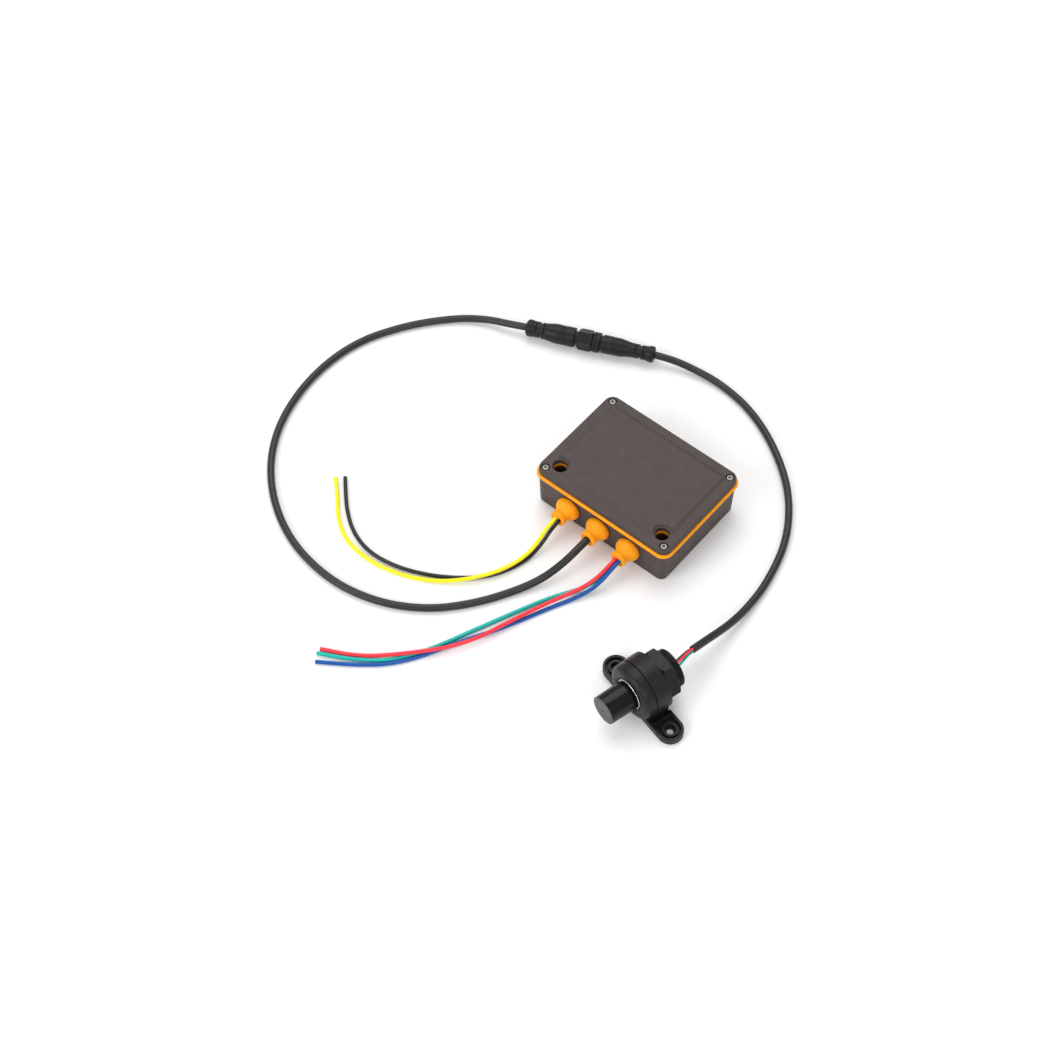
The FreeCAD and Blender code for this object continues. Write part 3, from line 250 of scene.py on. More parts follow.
def honeycomb(look, cell=0.021, line=0.045):
    """Thin outlines of a regular hexagon grid, broken up and kept to upward faces."""
    pitch = (1.0, math.sqrt(3.0), 1.0)
    half = tuple(part / 2 for part in pitch)
    place = look.vector("MULTIPLY", look.place, (1 / cell, 1 / cell, 0.0))
    first = look.vector("SUBTRACT", look.vector("MODULO", look.vector(
        "ADD", place, (40.0, 40.0 * pitch[1], 0.0)), pitch), half)
    second = look.vector("SUBTRACT", look.vector("MODULO", look.vector(
        "ADD", place, (40.5, 40.5 * pitch[1], 0.0)), pitch), half)
    flat = (1.0, 1.0, 0.0)
    first = look.vector("MULTIPLY", first, flat)
    second = look.vector("MULTIPLY", second, flat)
    nearer = look.sum("LESS_THAN", look.vector("DOT_PRODUCT", first, first),
                      look.vector("DOT_PRODUCT", second, second))
    made = look.node("ShaderNodeMix")
    made.data_type = "VECTOR"
    look.feed(made.inputs[0], nearer)
    look.feed(made.inputs[4], second)
    look.feed(made.inputs[5], first)
    local = look.vector("ABSOLUTE", made.outputs[1])
    slanted = look.vector("DOT_PRODUCT", local, (0.5, math.sqrt(3.0) / 2, 0.0))
    straight = look.vector("DOT_PRODUCT", local, (1.0, 0.0, 0.0))
    reach = look.sum("MAXIMUM", slanted, straight)
    outline = look.span(reach, 0.5 - line, 0.5 - line / 3)
    patchy = look.span(look.noise(28.0, 2.0), 0.42, 0.56, 0.05, 1.0)
    top = look.span(look.node("ShaderNodeSeparateXYZ", Vector=look.place).outputs[2],
                    0.0358, 0.0359)
    return look.sum("MULTIPLY", look.sum("MULTIPLY", outline, patchy), top)


def rubber_look(name, colour, roughness, glow=0.0):
    """Soft moulded rubber: faint flow lines, dust in the mottling, a soft sheen."""
    look = Look(name, Subsurface_Weight=glow, Subsurface_Scale=0.0012,
                Specular_IOR_Level=0.22, Sheen_Weight=0.05, Sheen_Roughness=0.4)
    look.shader.inputs["Subsurface Radius"].default_value = (1.0, 0.5, 0.15)
    cloud = look.span(look.noise(110.0, 4.0), 0.3, 0.7)
    base = look.blend(cloud, shade(colour, 0.9), shade(colour, 1.06))
    grime = look.span(look.noise(1500.0, 4.0), 0.62, 0.78, 0.0, 0.25)
    look.feed(look.shader.inputs["Base Color"], look.blend(grime, base, shade(colour, 0.72)))
    look.feed(look.shader.inputs["Roughness"],
              look.span(look.noise(300.0), 0.3, 0.7, roughness - 0.06, roughness + 0.08))
    return look.finish([(look.noise(1800.0), 5e-5), (look.noise(160.0), 1e-4)], 3e-4)


def jacket_look():
    """Cable jacket: semi-matt PVC with a fine bumpy surface and slight scuffs."""
    colour = (0.014, 0.014, 0.015)
    look = Look("cable_jacket", Specular_IOR_Level=0.4)
    scuff = look.span(look.noise(420.0, 6.0), 0.56, 0.72, 0.0, 0.6)
    base = look.blend(look.span(look.noise(70.0), 0.3, 0.7), shade(colour, 0.85),
                      shade(colour, 1.2))
    look.feed(look.shader.inputs["Base Color"], look.blend(scuff, base, shade(colour, 2.2)))
    look.feed(look.shader.inputs["Roughness"],
              look.span(look.noise(260.0, 4.0), 0.3, 0.7, 0.3, 0.46))
    return look.finish([(look.noise(1500.0, 2.0), 4e-5), (look.noise(320.0), 8e-5)])


def wire_look(name, colour):
    """Wire insulation: glossy PVC, a little translucent, with faint smudges."""
    look = Look(name, Subsurface_Weight=0.12, Subsurface_Scale=0.0008,
                Specular_IOR_Level=0.3, Coat_Weight=0.08, Coat_Roughness=0.3)
    base = look.blend(look.span(look.noise(150.0), 0.3, 0.7), shade(colour, 0.92),
                      shade(colour, 1.06))
    smudge = look.span(look.noise(600.0, 5.0), 0.6, 0.75, 0.0, 0.3)
    look.feed(look.shader.inputs["Base Color"], look.blend(smudge, base, shade(colour, 0.7)))
    look.feed(look.shader.inputs["Roughness"],
              look.span(look.noise(350.0), 0.3, 0.7, 0.24, 0.4))
    return look.finish([(look.noise(900.0), 4e-5)])


def metal_look(name, colour, roughness, brushed=None):
    """Plated or turned metal with tool marks and a little tarnish."""
    look = Look(name, Metallic=1.0)
    tarnish = look.span(look.noise(500.0, 5.0), 0.5, 0.75, 0.0, 0.5)
    look.feed(look.shader.inputs["Base Color"],
              look.blend(tarnish, shade(colour, 1.0), shade(colour, 0.66)))
    look.feed(look.shader.inputs["Roughness"],
              look.span(look.noise(800.0, 4.0), 0.3, 0.7, roughness - 0.06, roughness + 0.1))
    marks = look.noise(1500.0, 2.0, stretch=brushed)
    return look.finish([(marks, 3e-5)], 1.5e-4)


def board_look():
    """Green solder mask with copper tracks under it and plated pads."""
    look = Look("board_green", Coat_Weight=0.5, Coat_Roughness=0.12)
    tracks = look.node("ShaderNodeTexBrick", Vector=look.place, Scale=420.0)
    tracks.inputs["Mortar Size"].default_value = 0.035
    tracks.inputs["Brick Width"].default_value = 1.7
    tracks.inputs["Row Height"].default_value = 0.55
    run = look.sum("MULTIPLY", tracks.outputs["Fac"],
                   look.span(look.noise(90.0, 1.0), 0.46, 0.5))
    dots = look.node("ShaderNodeTexVoronoi", Vector=look.place, Scale=230.0)
    dots.inputs["Randomness"].default_value = 0.55
    via = look.span(dots.outputs["Distance"], 0.12, 0.1)
    mask = look.blend(look.span(look.noise(35.0), 0.3, 0.7), (0.006, 0.075, 0.03, 1),
                      (0.01, 0.1, 0.042, 1))
    traced = look.blend(run, mask, (0.03, 0.22, 0.08, 1))
    look.feed(look.shader.inputs["Base Color"], look.blend(via, traced, (0.6, 0.58, 0.5, 1)))
    look.feed(look.shader.inputs["Metallic"], look.sum("MULTIPLY", via, 0.9))
    look.feed(look.shader.inputs["Roughness"], look.span(look.noise(500.0), 0.3, 0.7, 0.25, 0.4))
    return look.finish([(run, 4e-5), (via, 5e-5)], 2e-4)


def foam_look():
    look = Look("foam", Roughness=0.95)
    cells = look.node("ShaderNodeTexVoronoi", Vector=look.place, Scale=2200.0)
    look.feed(look.shader.inputs["Base Color"],
              look.blend(cells.outputs["Distance"], (0.5, 0.48, 0.42, 1), (0.74, 0.72, 0.66, 1)))
    return look.finish([(cells.outputs["Distance"], 3e-4)])


def face_look():
    """The grey matching layer: fine filled resin with dark specks and a soft cloudy tone."""
    look = Look("face_grey")
    colour = (0.048, 0.049, 0.05)
    speck = look.span(look.noise(3800.0, 2.0), 0.38, 0.62)
    cloud = look.span(look.noise(190.0, 4.0), 0.3, 0.7)
    base = look.blend(cloud, shade(colour, 0.88), shade(colour, 1.1))
    look.feed(look.shader.inputs["Base Color"], look.blend(speck, shade(colour, 0.8), base))
    look.feed(look.shader.inputs["Roughness"], look.span(cloud, 0.0, 1.0, 0.42, 0.58))
    return look.finish([(look.noise(2600.0), 6e-5)], 3e-4)


LOOKS = {
    "box_plastic": box_look(),
    # Black plastic: edges painted much paler, mostly as a painted highlight along ridges and
    # corners.
    "black_plastic": moulded("black_plastic", (0.0085, 0.0085, 0.009), 0.38, wear_and_sheen=0.7,
                             wear_and_sheen_gain=7.0, Specular_IOR_Level=0.24),
    "gloss_black": moulded("gloss_black", (0.004, 0.004, 0.0045), 0.22, depth=1.5e-5,
                           mottle=0.1, wear_and_sheen=0.3, Specular_IOR_Level=0.16, Coat_Weight=0.12,
                           Coat_Roughness=0.15),
    "orange_rubber": rubber_look("orange_rubber", (0.94, 0.335, 0.003), 0.5, 0.2),
    "face_grey": face_look(),
    "steel": metal_look("steel", (0.27, 0.26, 0.25), 0.3),
    "bright_ring": metal_look("bright_ring", (0.8, 0.8, 0.8), 0.14),
    "brass": metal_look("brass", (0.78, 0.55, 0.22), 0.24),
    "black_rubber": rubber_look("black_rubber", (0.02, 0.02, 0.021), 0.6),
    "cable_jacket": jacket_look(),
    "yellow_wire": wire_look("yellow_wire", (0.98, 0.8, 0.004)),
    "black_wire": wire_look("black_wire", (0.01, 0.01, 0.011)),
    "red_wire": wire_look("red_wire", (0.84, 0.03, 0.05)),
    "green_wire": wire_look("green_wire", (0.006, 0.43, 0.37)),
    "blue_wire": wire_look("blue_wire", (0.003, 0.075, 0.34)),
    "board_green": board_look(),
    "terminal_green": moulded("terminal_green", (0.02, 0.26, 0.09), 0.38),
    "chip_black": moulded("chip_black", (0.018, 0.018, 0.019), 0.55, wear_and_sheen=0.1),
    "ferrite": moulded("ferrite", (0.04, 0.04, 0.043), 0.5, grain=1600.0, depth=1e-4),
    "coil_former": metal_look("coil_former", (0.7, 0.3, 0.12), 0.3),
    "can_metal": metal_look("can_metal", (0.72, 0.72, 0.74), 0.28, brushed=(1, 1, 0.08)),
    "piezo_ceramic": moulded("piezo_ceramic", (0.62, 0.56, 0.44), 0.6, wear_and_sheen=0.0),
    "foam": foam_look(),
    "epoxy": moulded("epoxy", (0.02, 0.02, 0.02), 0.2, grain=500.0, depth=8e-5, wear_and_sheen=0.0),
}


def dress(obj, slot):
    obj.data.materials.clear()
    obj.data.materials.append(LOOKS[slot])


# ---------------------------------------------------------------- mesh helpers

def placed(origin, across, second, along):
    """A matrix from a piece's own axes, in millimetres, to the frame, in metres."""
    turn = Matrix((across, second, along)).transposed().to_4x4()
    return Matrix.Translation(Vector(origin) * MM) @ turn @ Matrix.Scale(MM, 4)


def made(name, mesh, slot, body, replaced=(), sharp=38.0):
    mesh.shade_smooth()
    mesh.set_sharp_from_angle(angle=math.radians(sharp))
    obj = bpy.data.objects.new(name, mesh)
    scene.collection.objects.link(obj)
    dress(obj, slot)
    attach(obj, body)
    if replaced:
        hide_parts(*replaced)
    return obj


def soft_line(corners, steps=5):
    """A closed outline of (along, radius, rounding) corners, each turned into an arc."""
    points = []
    count = len(corners)
    for number, (along, radius, rounding) in enumerate(corners):
        here = Vector((along, radius))
        if not rounding:
            points.append(here)
            continue
        back = Vector(corners[number - 1][:2]) - here
        ahead = Vector(corners[(number + 1) % count][:2]) - here
        start = here + back.normalized() * min(rounding, 0.48 * back.length)
        end = here + ahead.normalized() * min(rounding, 0.48 * ahead.length)
        for step in range(steps + 1):
            part = step / steps
            points.append(start * (1 - part) ** 2 + here * 2 * part * (1 - part)
                          + end * part ** 2)
    return points


def divided(points, longest):
    """The same outline with no segment longer than `longest`."""
    finer = []
    for here, after in zip(points, points[1:] + points[:1]):
        parts = max(1, math.ceil((after - here).length / longest))
        if here.y < 1e-6 and after.y < 1e-6:
            parts = 1
        finer += [here.lerp(after, step / parts) for step in range(parts)]
    return finer


def lathe_mesh(name, corners, place, segments=96, shape=None, longest=None):
    """A closed turned solid. shape(along, angle, radius) gives a point's own radius."""
    line = soft_line(corners)
    if longest:
        line = divided(line, longest)
    points = []
    rings = []
    for along, radius in line:
        if radius < 1e-6:
            rings.append([len(points)])
            points.append((0, 0, along))
            continue
        rings.append(list(range(len(points), len(points) + segments)))
        for step in range(segments):
            angle = TURN * step / segments
            reach = shape(along, angle, radius) if shape else radius
            points.append((reach * math.cos(angle), reach * math.sin(angle), along))
    faces = []
    for first, second in zip(rings, rings[1:] + rings[:1]):
        if len(first) == 1 and len(second) == 1:
            continue
        for step in range(segments):
            after = (step + 1) % segments
            if len(first) == 1:
                faces.append((first[0], second[step], second[after]))
            elif len(second) == 1:
                faces.append((first[step], second[0], first[after]))
            else:
                faces.append((first[step], second[step], second[after], first[after]))
    mesh = bpy.data.meshes.new(name)
    mesh.from_pydata([place @ Vector(point) for point in points], [], faces)
    return outward(mesh)


def outward(mesh):
    work = bmesh.new()
    work.from_mesh(mesh)
    bmesh.ops.recalc_face_normals(work, faces=work.faces)
    work.to_mesh(mesh)
    work.free()
    return mesh


def lathe(name, slot, body, corners, place, replaced=(), **options):
    return made(name, lathe_mesh(name, corners, place, **options), slot, body, replaced)


def hexagon(corner):
    """A turned piece's shape function: cut to a hexagon of that corner radius."""
    flat = corner * math.cos(math.pi / 6)

    def shape(along, angle, radius):
        turn = (angle + math.pi / 6) % (math.pi / 3) - math.pi / 6
        return min(radius, flat / math.cos(turn)) if radius > flat * 0.9 else radius
    return shape


def step_up(value, low, high):
    part = min(1.0, max(0.0, (value - low) / (high - low)))
    return part * part * (3 - 2 * part)


def window(value, centre, half, soft):
    """1 within `half` of the centre, falling to 0 over `soft`."""
    return 1.0 - step_up(abs(value - centre), half - soft / 2, half + soft / 2)


def blocks_mesh(name, blocks, soft=0.12):
    """Bevelled boxes in one mesh. A block is (centre, lengths, turn in degrees)."""
    work = bmesh.new()
    for centre, lengths, turn in blocks:
        grown = bmesh.ops.create_cube(work, size=1.0)["verts"]
        move = (Matrix.Translation(Vector(centre)) @ Matrix.Rotation(math.radians(turn), 4, "Z")
                @ Matrix.Diagonal(Vector(lengths)).to_4x4())
        bmesh.ops.transform(work, matrix=move, verts=grown)
        edges = list({edge for vert in grown for edge in vert.link_edges})
        bmesh.ops.bevel(work, geom=edges, offset=min(soft, 0.25 * min(lengths)), segments=2,
                        profile=0.6, affect="EDGES")
    bmesh.ops.transform(work, matrix=Matrix.Scale(MM, 4), verts=work.verts)
    mesh = bpy.data.meshes.new(name)
    work.to_mesh(mesh)
    work.free()
    return mesh


def joined_mesh(name, meshes):
    work = bmesh.new()
    for mesh in meshes:
        work.from_mesh(mesh)
        bpy.data.meshes.remove(mesh)
    mesh = bpy.data.meshes.new(name)
    work.to_mesh(mesh)
    work.free()
    return mesh


def loft_mesh(name, loops):
    """A closed skin through loops of equal point counts, capped at both ends."""
    work = bmesh.new()
    rows = [[work.verts.new(Vector(point) * MM) for point in loop] for loop in loops]
    for first, second in zip(rows, rows[1:]):
        for step in range(len(first)):
            after = (step + 1) % len(first)
            work.faces.new((first[step], first[after], second[after], second[step]))
    work.faces.new(rows[0])
    work.faces.new(rows[-1])
    bmesh.ops.recalc_face_normals(work, faces=work.faces)
    mesh = bpy.data.meshes.new(name)
    work.to_mesh(mesh)
    work.free()
    return mesh


def rounded_loop(centre, half_x, half_y, corner, height, steps=6):
    """A level rectangle with round corners."""
    loop = []
    for quarter, (sign_x, sign_y) in enumerate(((1, 1), (-1, 1), (-1, -1), (1, -1))):
        for step in range(steps + 1):
            angle = math.pi / 2 * (quarter + step / steps)
            loop.append((centre[0] + sign_x * (half_x - corner) + corner * math.cos(angle),
                         centre[1] + sign_y * (half_y - corner) + corner * math.sin(angle),
                         height))
    return loop


# ---------------------------------------------------------------- cords

WIRE = 1.35
CABLE = 2.6
CABLE_LOW = 2.65
WIRE_LOW = 1.4
PITCH = 25.6
SPACE = 1.5
EXIT = -53.5
BOX_HIGH = 15.0
YAW = math.radians(24.03)
ALONG = Vector((math.cos(YAW), math.sin(YAW), 0))
SOCKET_END = Vector((-152.2, 66.4, 7.72))
PLUG_END = SOCKET_END + ALONG * 95.0
NOSE_DEPTH = 1.2

CONNECTOR_CABLE = [
    (0, EXIT, BOX_HIGH), (-0.2, -63.5, 14.4), (-2.2, -76.5, 10.6), (-7.0, -91.5, 5.6),
    (-15.2, -107.5, CABLE_LOW), (-29.5, -132.5, CABLE_LOW), (-50.5, -156.5, CABLE_LOW),
    (-80.5, -174.0, CABLE_LOW), (-117.5, -181.2, CABLE_LOW), (-161.5, -173.8, CABLE_LOW),
    (-201.5, -149.5, CABLE_LOW), (-229.5, -114.0, CABLE_LOW), (-243.0, -68.0, CABLE_LOW),
    (-241.0, -22.0, CABLE_LOW), (-223.0, 15.0, CABLE_LOW), (-199.5, 43.5, CABLE_LOW + 0.1),
    (-180.5, 56.2, 4.4), tuple(SOCKET_END - ALONG * 13 + Vector((0, 0, -0.7))),
    tuple(SOCKET_END),
]

SENSOR_CABLE = [
    tuple(PLUG_END), tuple(PLUG_END + ALONG * 12 + Vector((0, 0, -0.7))),
    (-38.5, 114.6, 4.6), (-16.5, 117.6, CABLE_LOW), (14.0, 112.6, CABLE_LOW),
    (46.5, 96.6, CABLE_LOW), (77.0, 72.0, CABLE_LOW), (98.5, 39.5, CABLE_LOW),
    (108.3, 3.5, CABLE_LOW), (110.4, -23.0, 3.8), (110.2, -43.0, 8.2),
    (108.4, -61.0, 13.6), (106.4, -77.6, 17.6),
]

YELLOW_WIRE = [
    (-PITCH - SPACE, EXIT, BOX_HIGH), (-27.1, -61.0, 14.4), (-26.8, -69.0, 10.2),
    (-26.9, -78.0, 6.2), (-28.2, -88.5, 5.0), (-31.8, -101.5, 5.2), (-38.8, -114.2, 5.2),
    (-49.0, -125.8, 3.4), (-62.5, -136.6, WIRE_LOW), (-83.0, -147.2, WIRE_LOW),
    (-108.0, -152.2, WIRE_LOW), (-130.0, -149.6, WIRE_LOW), (-146.5, -139.8, WIRE_LOW),
    (-158.5, -126.8, WIRE_LOW), (-170.3, -116.0, WIRE_LOW),
]

BLACK_WIRE = [
    (-PITCH + SPACE, EXIT, BOX_HIGH), (-24.1, -61.0, 14.0), (-24.3, -69.0, 8.2),
    (-25.4, -77.5, 2.8), (-27.2, -87.6, WIRE_LOW), (-31.6, -100.3, WIRE_LOW),
    (-39.4, -113.0, WIRE_LOW), (-53.5, -125.6, WIRE_LOW), (-71.0, -136.6, WIRE_LOW),
    (-91.5, -144.6, WIRE_LOW), (-112.5, -146.9, WIRE_LOW), (-131.0, -141.4, WIRE_LOW),
    (-146.0, -131.0, WIRE_LOW), (-157.0, -120.3, WIRE_LOW), (-165.6, -111.4, WIRE_LOW),
]

RED_WIRE = [
    (PITCH - SPACE, EXIT, BOX_HIGH), (24.0, -61.0, 14.5), (22.4, -69.5, 10.4),
    (18.6, -79.0, 6.4), (13.4, -89.5, 4.9), (7.0, -104.5, 4.9), (0.9, -121.0, 4.9),
    (-5.0, -137.5, 4.9), (-10.8, -154.3, 4.9), (-20.0, -170.2, 4.9), (-32.0, -184.5, 4.9),
    (-44.8, -197.4, 3.7), (-58.5, -208.4, WIRE_LOW), (-72.0, -217.0, WIRE_LOW),
    (-85.0, -223.2, WIRE_LOW),
]

GREEN_WIRE = [
    (PITCH, EXIT, BOX_HIGH - 2.6), (25.2, -60.5, 11.8), (22.8, -69.0, 7.2),
    (17.2, -78.1, 2.6), (10.5, -87.7, WIRE_LOW), (3.0, -100.9, WIRE_LOW),
    (-4.3, -117.4, WIRE_LOW), (-11.2, -133.6, WIRE_LOW), (-18.6, -150.9, WIRE_LOW),
    (-25.9, -168.9, WIRE_LOW), (-34.8, -187.0, WIRE_LOW), (-46.5, -202.9, WIRE_LOW),
    (-60.8, -213.9, WIRE_LOW), (-73.7, -221.4, WIRE_LOW), (-84.5, -227.0, WIRE_LOW),
]

BLUE_WIRE = [
    (PITCH + SPACE, EXIT, BOX_HIGH), (27.0, -61.0, 14.3), (26.0, -69.5, 9.6),
    (22.2, -79.5, 4.2), (16.4, -90.0, WIRE_LOW), (9.0, -105.0, WIRE_LOW),
    (2.2, -121.0, WIRE_LOW), (-5.2, -137.0, WIRE_LOW), (-14.0, -152.5, WIRE_LOW),
    (-23.0, -169.7, WIRE_LOW), (-32.3, -188.4, WIRE_LOW), (-43.8, -204.4, WIRE_LOW),
    (-58.1, -216.6, WIRE_LOW), (-70.1, -225.2, WIRE_LOW), (-80.8, -232.4, WIRE_LOW),
]


def spline_curve(name, route, radius, slot, body, node):
    """A smooth tube whose control points are the route's points."""
    data = bpy.data.curves.new(name, "CURVE")
    data.dimensions = "3D"
    data.resolution_u = 16
    data.bevel_depth = radius * MM
    data.bevel_resolution = 6
    data.use_fill_caps = True
    spline = data.splines.new("NURBS")
    spline.points.add(len(route) - 1)
    for point, place in zip(spline.points, route):
        point.co = (*(Vector(place) * MM), 1.0)
    spline.order_u = 3
    spline.use_endpoint_u = True
    obj = bpy.data.objects.new(name, data)
    scene.collection.objects.link(obj)
    obj.data.materials.append(LOOKS[slot])
    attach(obj, body)
    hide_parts(node)
    return obj


def bare_strands(name, route, body):
    """The cut copper strands, just proud of a wire's cut end."""
    end = Vector(route[-1])
    along = (end - Vector(route[-2])).normalized()
    across = along.cross(Vector((0, 0, 1))).normalized()
    second = along.cross(across)
    meshes = []
    for number in range(7):
        angle = TURN * number / 6
        reach = 0.36 if number < 6 else 0.0
        foot = end + across * (reach * math.cos(angle)) + second * (reach * math.sin(angle))
        place = placed(foot, across, second, across.cross(second))
        sign = 1.0 if across.cross(second).dot(along) > 0 else -1.0
        corners = [(-0.4 * sign, 0, 0), (-0.4 * sign, 0.17, 0), (0.1 * sign, 0.17, 0.05),
                   (0.14 * sign, 0, 0)]
        meshes.append(lathe_mesh(name + "_strand", corners, place, segments=12))
    return made(name, joined_mesh(name, meshes), "brass", body)


def make_wire(node, route, slot):
    """A bare-ended wire from a grommet. Its first point sits inside the grommet's nose."""
    inner = (route[0][0], route[0][1] + NOSE_DEPTH, route[0][2])
    curve = spline_curve(node + "_run", [inner] + route[1:], WIRE, slot, "box", node)
    strands = bare_strands(node + "_strands", route, "box")


def make_cords(socket_pieces, plug_pieces):
    inner = (0, EXIT + NOSE_DEPTH, BOX_HIGH)
    first = spline_curve("connector_cable_run", [inner] + CONNECTOR_CABLE[1:], CABLE,
                         "cable_jacket", "box", "connector_cable")
    second = spline_curve("sensor_cable_run", SENSOR_CABLE, CABLE, "cable_jacket",
                          "sensor_side", "sensor_cable")
    make_wire("yellow_wire", YELLOW_WIRE, "yellow_wire")
    make_wire("black_wire", BLACK_WIRE, "black_wire")
    make_wire("red_wire", RED_WIRE, "red_wire")
    make_wire("green_wire", GREEN_WIRE, "green_wire")
    make_wire("blue_wire", BLUE_WIRE, "blue_wire")


# ---------------------------------------------------------------- control box

WALL_INSIDE = -37.6
SCREW_X = 50.0
SCREW_Y = 36.0


def grommet_shape(along, angle, radius):
    """The nose is a slightly lobed collar."""
    nose = step_up(along, 12.2, 13.6)
    lobes = 0.22 * nose * math.sin(5 * angle + 0.6) + 0.12 * nose * math.sin(3 * angle + 2.0)
    return radius + lobes if radius > 3.0 else radius


def make_grommets():
    """Bell-shaped rubber grommets with a rolled, slightly ragged nose round the wires."""
    corners = [
        (-1.95, 0, 0), (-1.95, 8.0, 0.5), (-0.1, 8.0, 0.3), (-0.1, 6.4, 0.2),
        (2.85, 6.4, 0.1), (2.85, 8.75, 0.4), (4.6, 8.95, 1.0), (7.0, 8.2, 1.5),
        (9.4, 5.9, 1.7), (12.3, 5.0, 1.2), (13.2, 5.8, 0.5), (15.6, 5.75, 0.5),
        (15.9, 4.7, 0.5), (15.2, 3.7, 0.4), (14.9, 0, 0),
    ]
    for place, name in ((-1, "power_grommet"), (0, "sensor_grommet"), (1, "signal_grommet")):
        matrix = placed((place * PITCH, WALL_INSIDE, BOX_HIGH), (1, 0, 0), (0, 0, 1), (0, -1, 0))
        lathe(name + "_moulding", "orange_rubber", "box", corners, matrix, [name],
              shape=grommet_shape, longest=0.5)


def make_lid_screws():
    """Socket-head screws with a domed rim and a hexagon recess."""
    seat = 32.5
    recess = 1.25
    shape = hexagon(recess)

    def socket(along, angle, radius):
        inside = abs(radius - recess) < 0.02 and along > seat + 0.5
        return shape(along, angle, radius) if inside else radius

    corners = [
        (seat - 12, 0, 0), (seat - 12, 0.9, 0), (seat - 11.5, 1.25, 0.2), (seat, 1.25, 0.1),
        (seat, 2.25, 0.15), (seat + 2.4, 2.25, 0.4), (seat + 2.5, 1.5, 0.1),
        (seat + 2.4, recess, 0), (seat + 1.1, recess, 0), (seat + 0.6, 0, 0),
    ]
    meshes = []
    for sign_x in (-1, 1):
        for sign_y in (-1, 1):
            place = placed((sign_x * SCREW_X, sign_y * SCREW_Y, 0), (1, 0, 0), (0, 1, 0),
                           (0, 0, 1))
            meshes.append(lathe_mesh("screw", corners, place, segments=48, shape=socket))
    made("lid_screw_set", joined_mesh("lid_screw_set", meshes), "steel", "lid", ["lid_screws"])


# ---------------------------------------------------------------- inline connector

def connector_frame(turn=0.0):
    base = placed(SOCKET_END, (0, 0, -1), (-math.sin(YAW), math.cos(YAW), 0), ALONG)
    return base @ Matrix.Rotation(math.radians(turn), 4, "Z")


def notches(starts):
    """Strain relief: rings of slots, each ring turned a quarter from the one before."""
    first_turn = 0.5
    core_radius = 3.5
    slot_depth = 1.0

    def shape(along, angle, radius):
        cut = 0.0
        for number, start in enumerate(starts):
            turn = first_turn + (math.pi / 2 if number % 2 else 0.0)
            around = (angle - turn + math.pi / 2) % math.pi - math.pi / 2
            cut += window(along, start, 0.62, 0.25) * window(around, 0.0, 0.72, 0.12)
        return radius - slot_depth * min(1.0, cut) if radius > core_radius else radius
    return shape


def grip_grooves(first, radius):
    corners = []
    for number in range(3):
        start = first + 1.6 * number
        corners += [(start, radius, 0.12), (start + 0.1, radius - 0.4, 0.1),
                    (start + 0.7, radius - 0.4, 0.1), (start + 0.8, radius, 0.12)]
    return corners


def make_socket():
    """The box-side half: the overmoulding and the captive nut."""
    place = connector_frame()
    corners = [
        (0, 0, 0), (0, 3.6, 0.4), (0.9, 5.4, 0.7), (2.0, 6.25, 0.8), (4.8, 6.2, 0.6),
        (5.6, 5.75, 0.3), (15.2, 5.85, 1.5), (17.0, 6.3, 0.8), (21.8, 7.1, 1.6),
    ] + grip_grooves(25.8, 7.1) + [
        (36.3, 7.1, 0.5), (36.3, 4.95, 0.2), (40.3, 4.95, 0.1), (40.3, 5.7, 0.15),
        (41.5, 5.7, 0.15), (41.5, 0, 0),
    ]
    overmold = lathe("socket_moulding", "black_plastic", "box", corners, place,
                     ["socket_overmold"], shape=notches((8.3, 11.2, 14.1)),
                     longest=0.3, segments=112)
    nut = lathe("coupling_nut_moulding", "black_plastic", "coupling", [
        (38.6, 5.05, 0.1), (38.6, 6.4, 0.25), (40.3, 7.9, 0.0), (48.4, 7.9, 0.0),
        (49.3, 6.9, 0.25), (49.3, 5.9, 0.15), (40.1, 5.9, 0.1), (40.1, 5.05, 0.1),
    ], connector_frame(30.0), ["coupling_nut"], shape=hexagon(7.85), longest=0.5,
        segments=144)
    return [overmold, nut]


def make_plug():
    """The sensor-side half: threaded sleeve with its notched ring, and the overmoulding."""
    place = connector_frame()

    def notched(along, angle, radius):
        if radius < 6.3 or along < 49.9:
            return radius
        wave = math.cos(12 * angle)
        rim = window(along, 50.7, 0.75, 0.2)
        return radius - 0.55 * rim * step_up(wave, 0.2, 0.5) - 0.1 * (1 - math.cos(36 * angle))

    thread = []
    for number in range(6):
        start = 42.8 + number
        thread += [(start, 5.25, 0.08), (start + 0.3, 5.7, 0.08), (start + 0.6, 5.7, 0.08),
                   (start + 0.9, 5.25, 0.08)]
    shell = lathe("plug_shell_moulding", "black_plastic", "sensor_side",
                  [(42.3, 4.6, 0.1), (42.3, 5.25, 0.1)] + thread + [
                      (50.0, 5.25, 0.1), (50.05, 7.2, 0.25), (51.6, 7.3, 0.1),
                      (51.7, 6.8, 0.1), (52.2, 6.8, 0.1), (52.3, 7.3, 0.1),
                      (55.0, 7.2, 0.3), (55.0, 0, 0), (49.0, 0, 0), (49.0, 4.6, 0.1)],
                  place, ["plug_shell"], shape=notched, longest=0.3, segments=144)
    overmold = lathe("plug_moulding", "black_plastic", "sensor_side", [
        (55.0, 0, 0), (55.0, 5.4, 0.1), (56.6, 5.4, 0.2), (56.6, 6.65, 0.5),
    ] + grip_grooves(64.2, 6.65) + [
        (69.4, 6.6, 0.8), (77.4, 5.15, 2.6), (89.4, 5.15, 0.3), (90.2, 5.5, 0.4),
        (91.6, 5.95, 0.7), (94.2, 5.8, 0.7), (95.0, 3.6, 0.4), (95.0, 0, 0),
    ], place, ["plug_overmold"], shape=notches((81.4, 84.3, 87.2)), longest=0.3,
        segments=112)
    return [shell, overmold]


# ---------------------------------------------------------------- sensor head

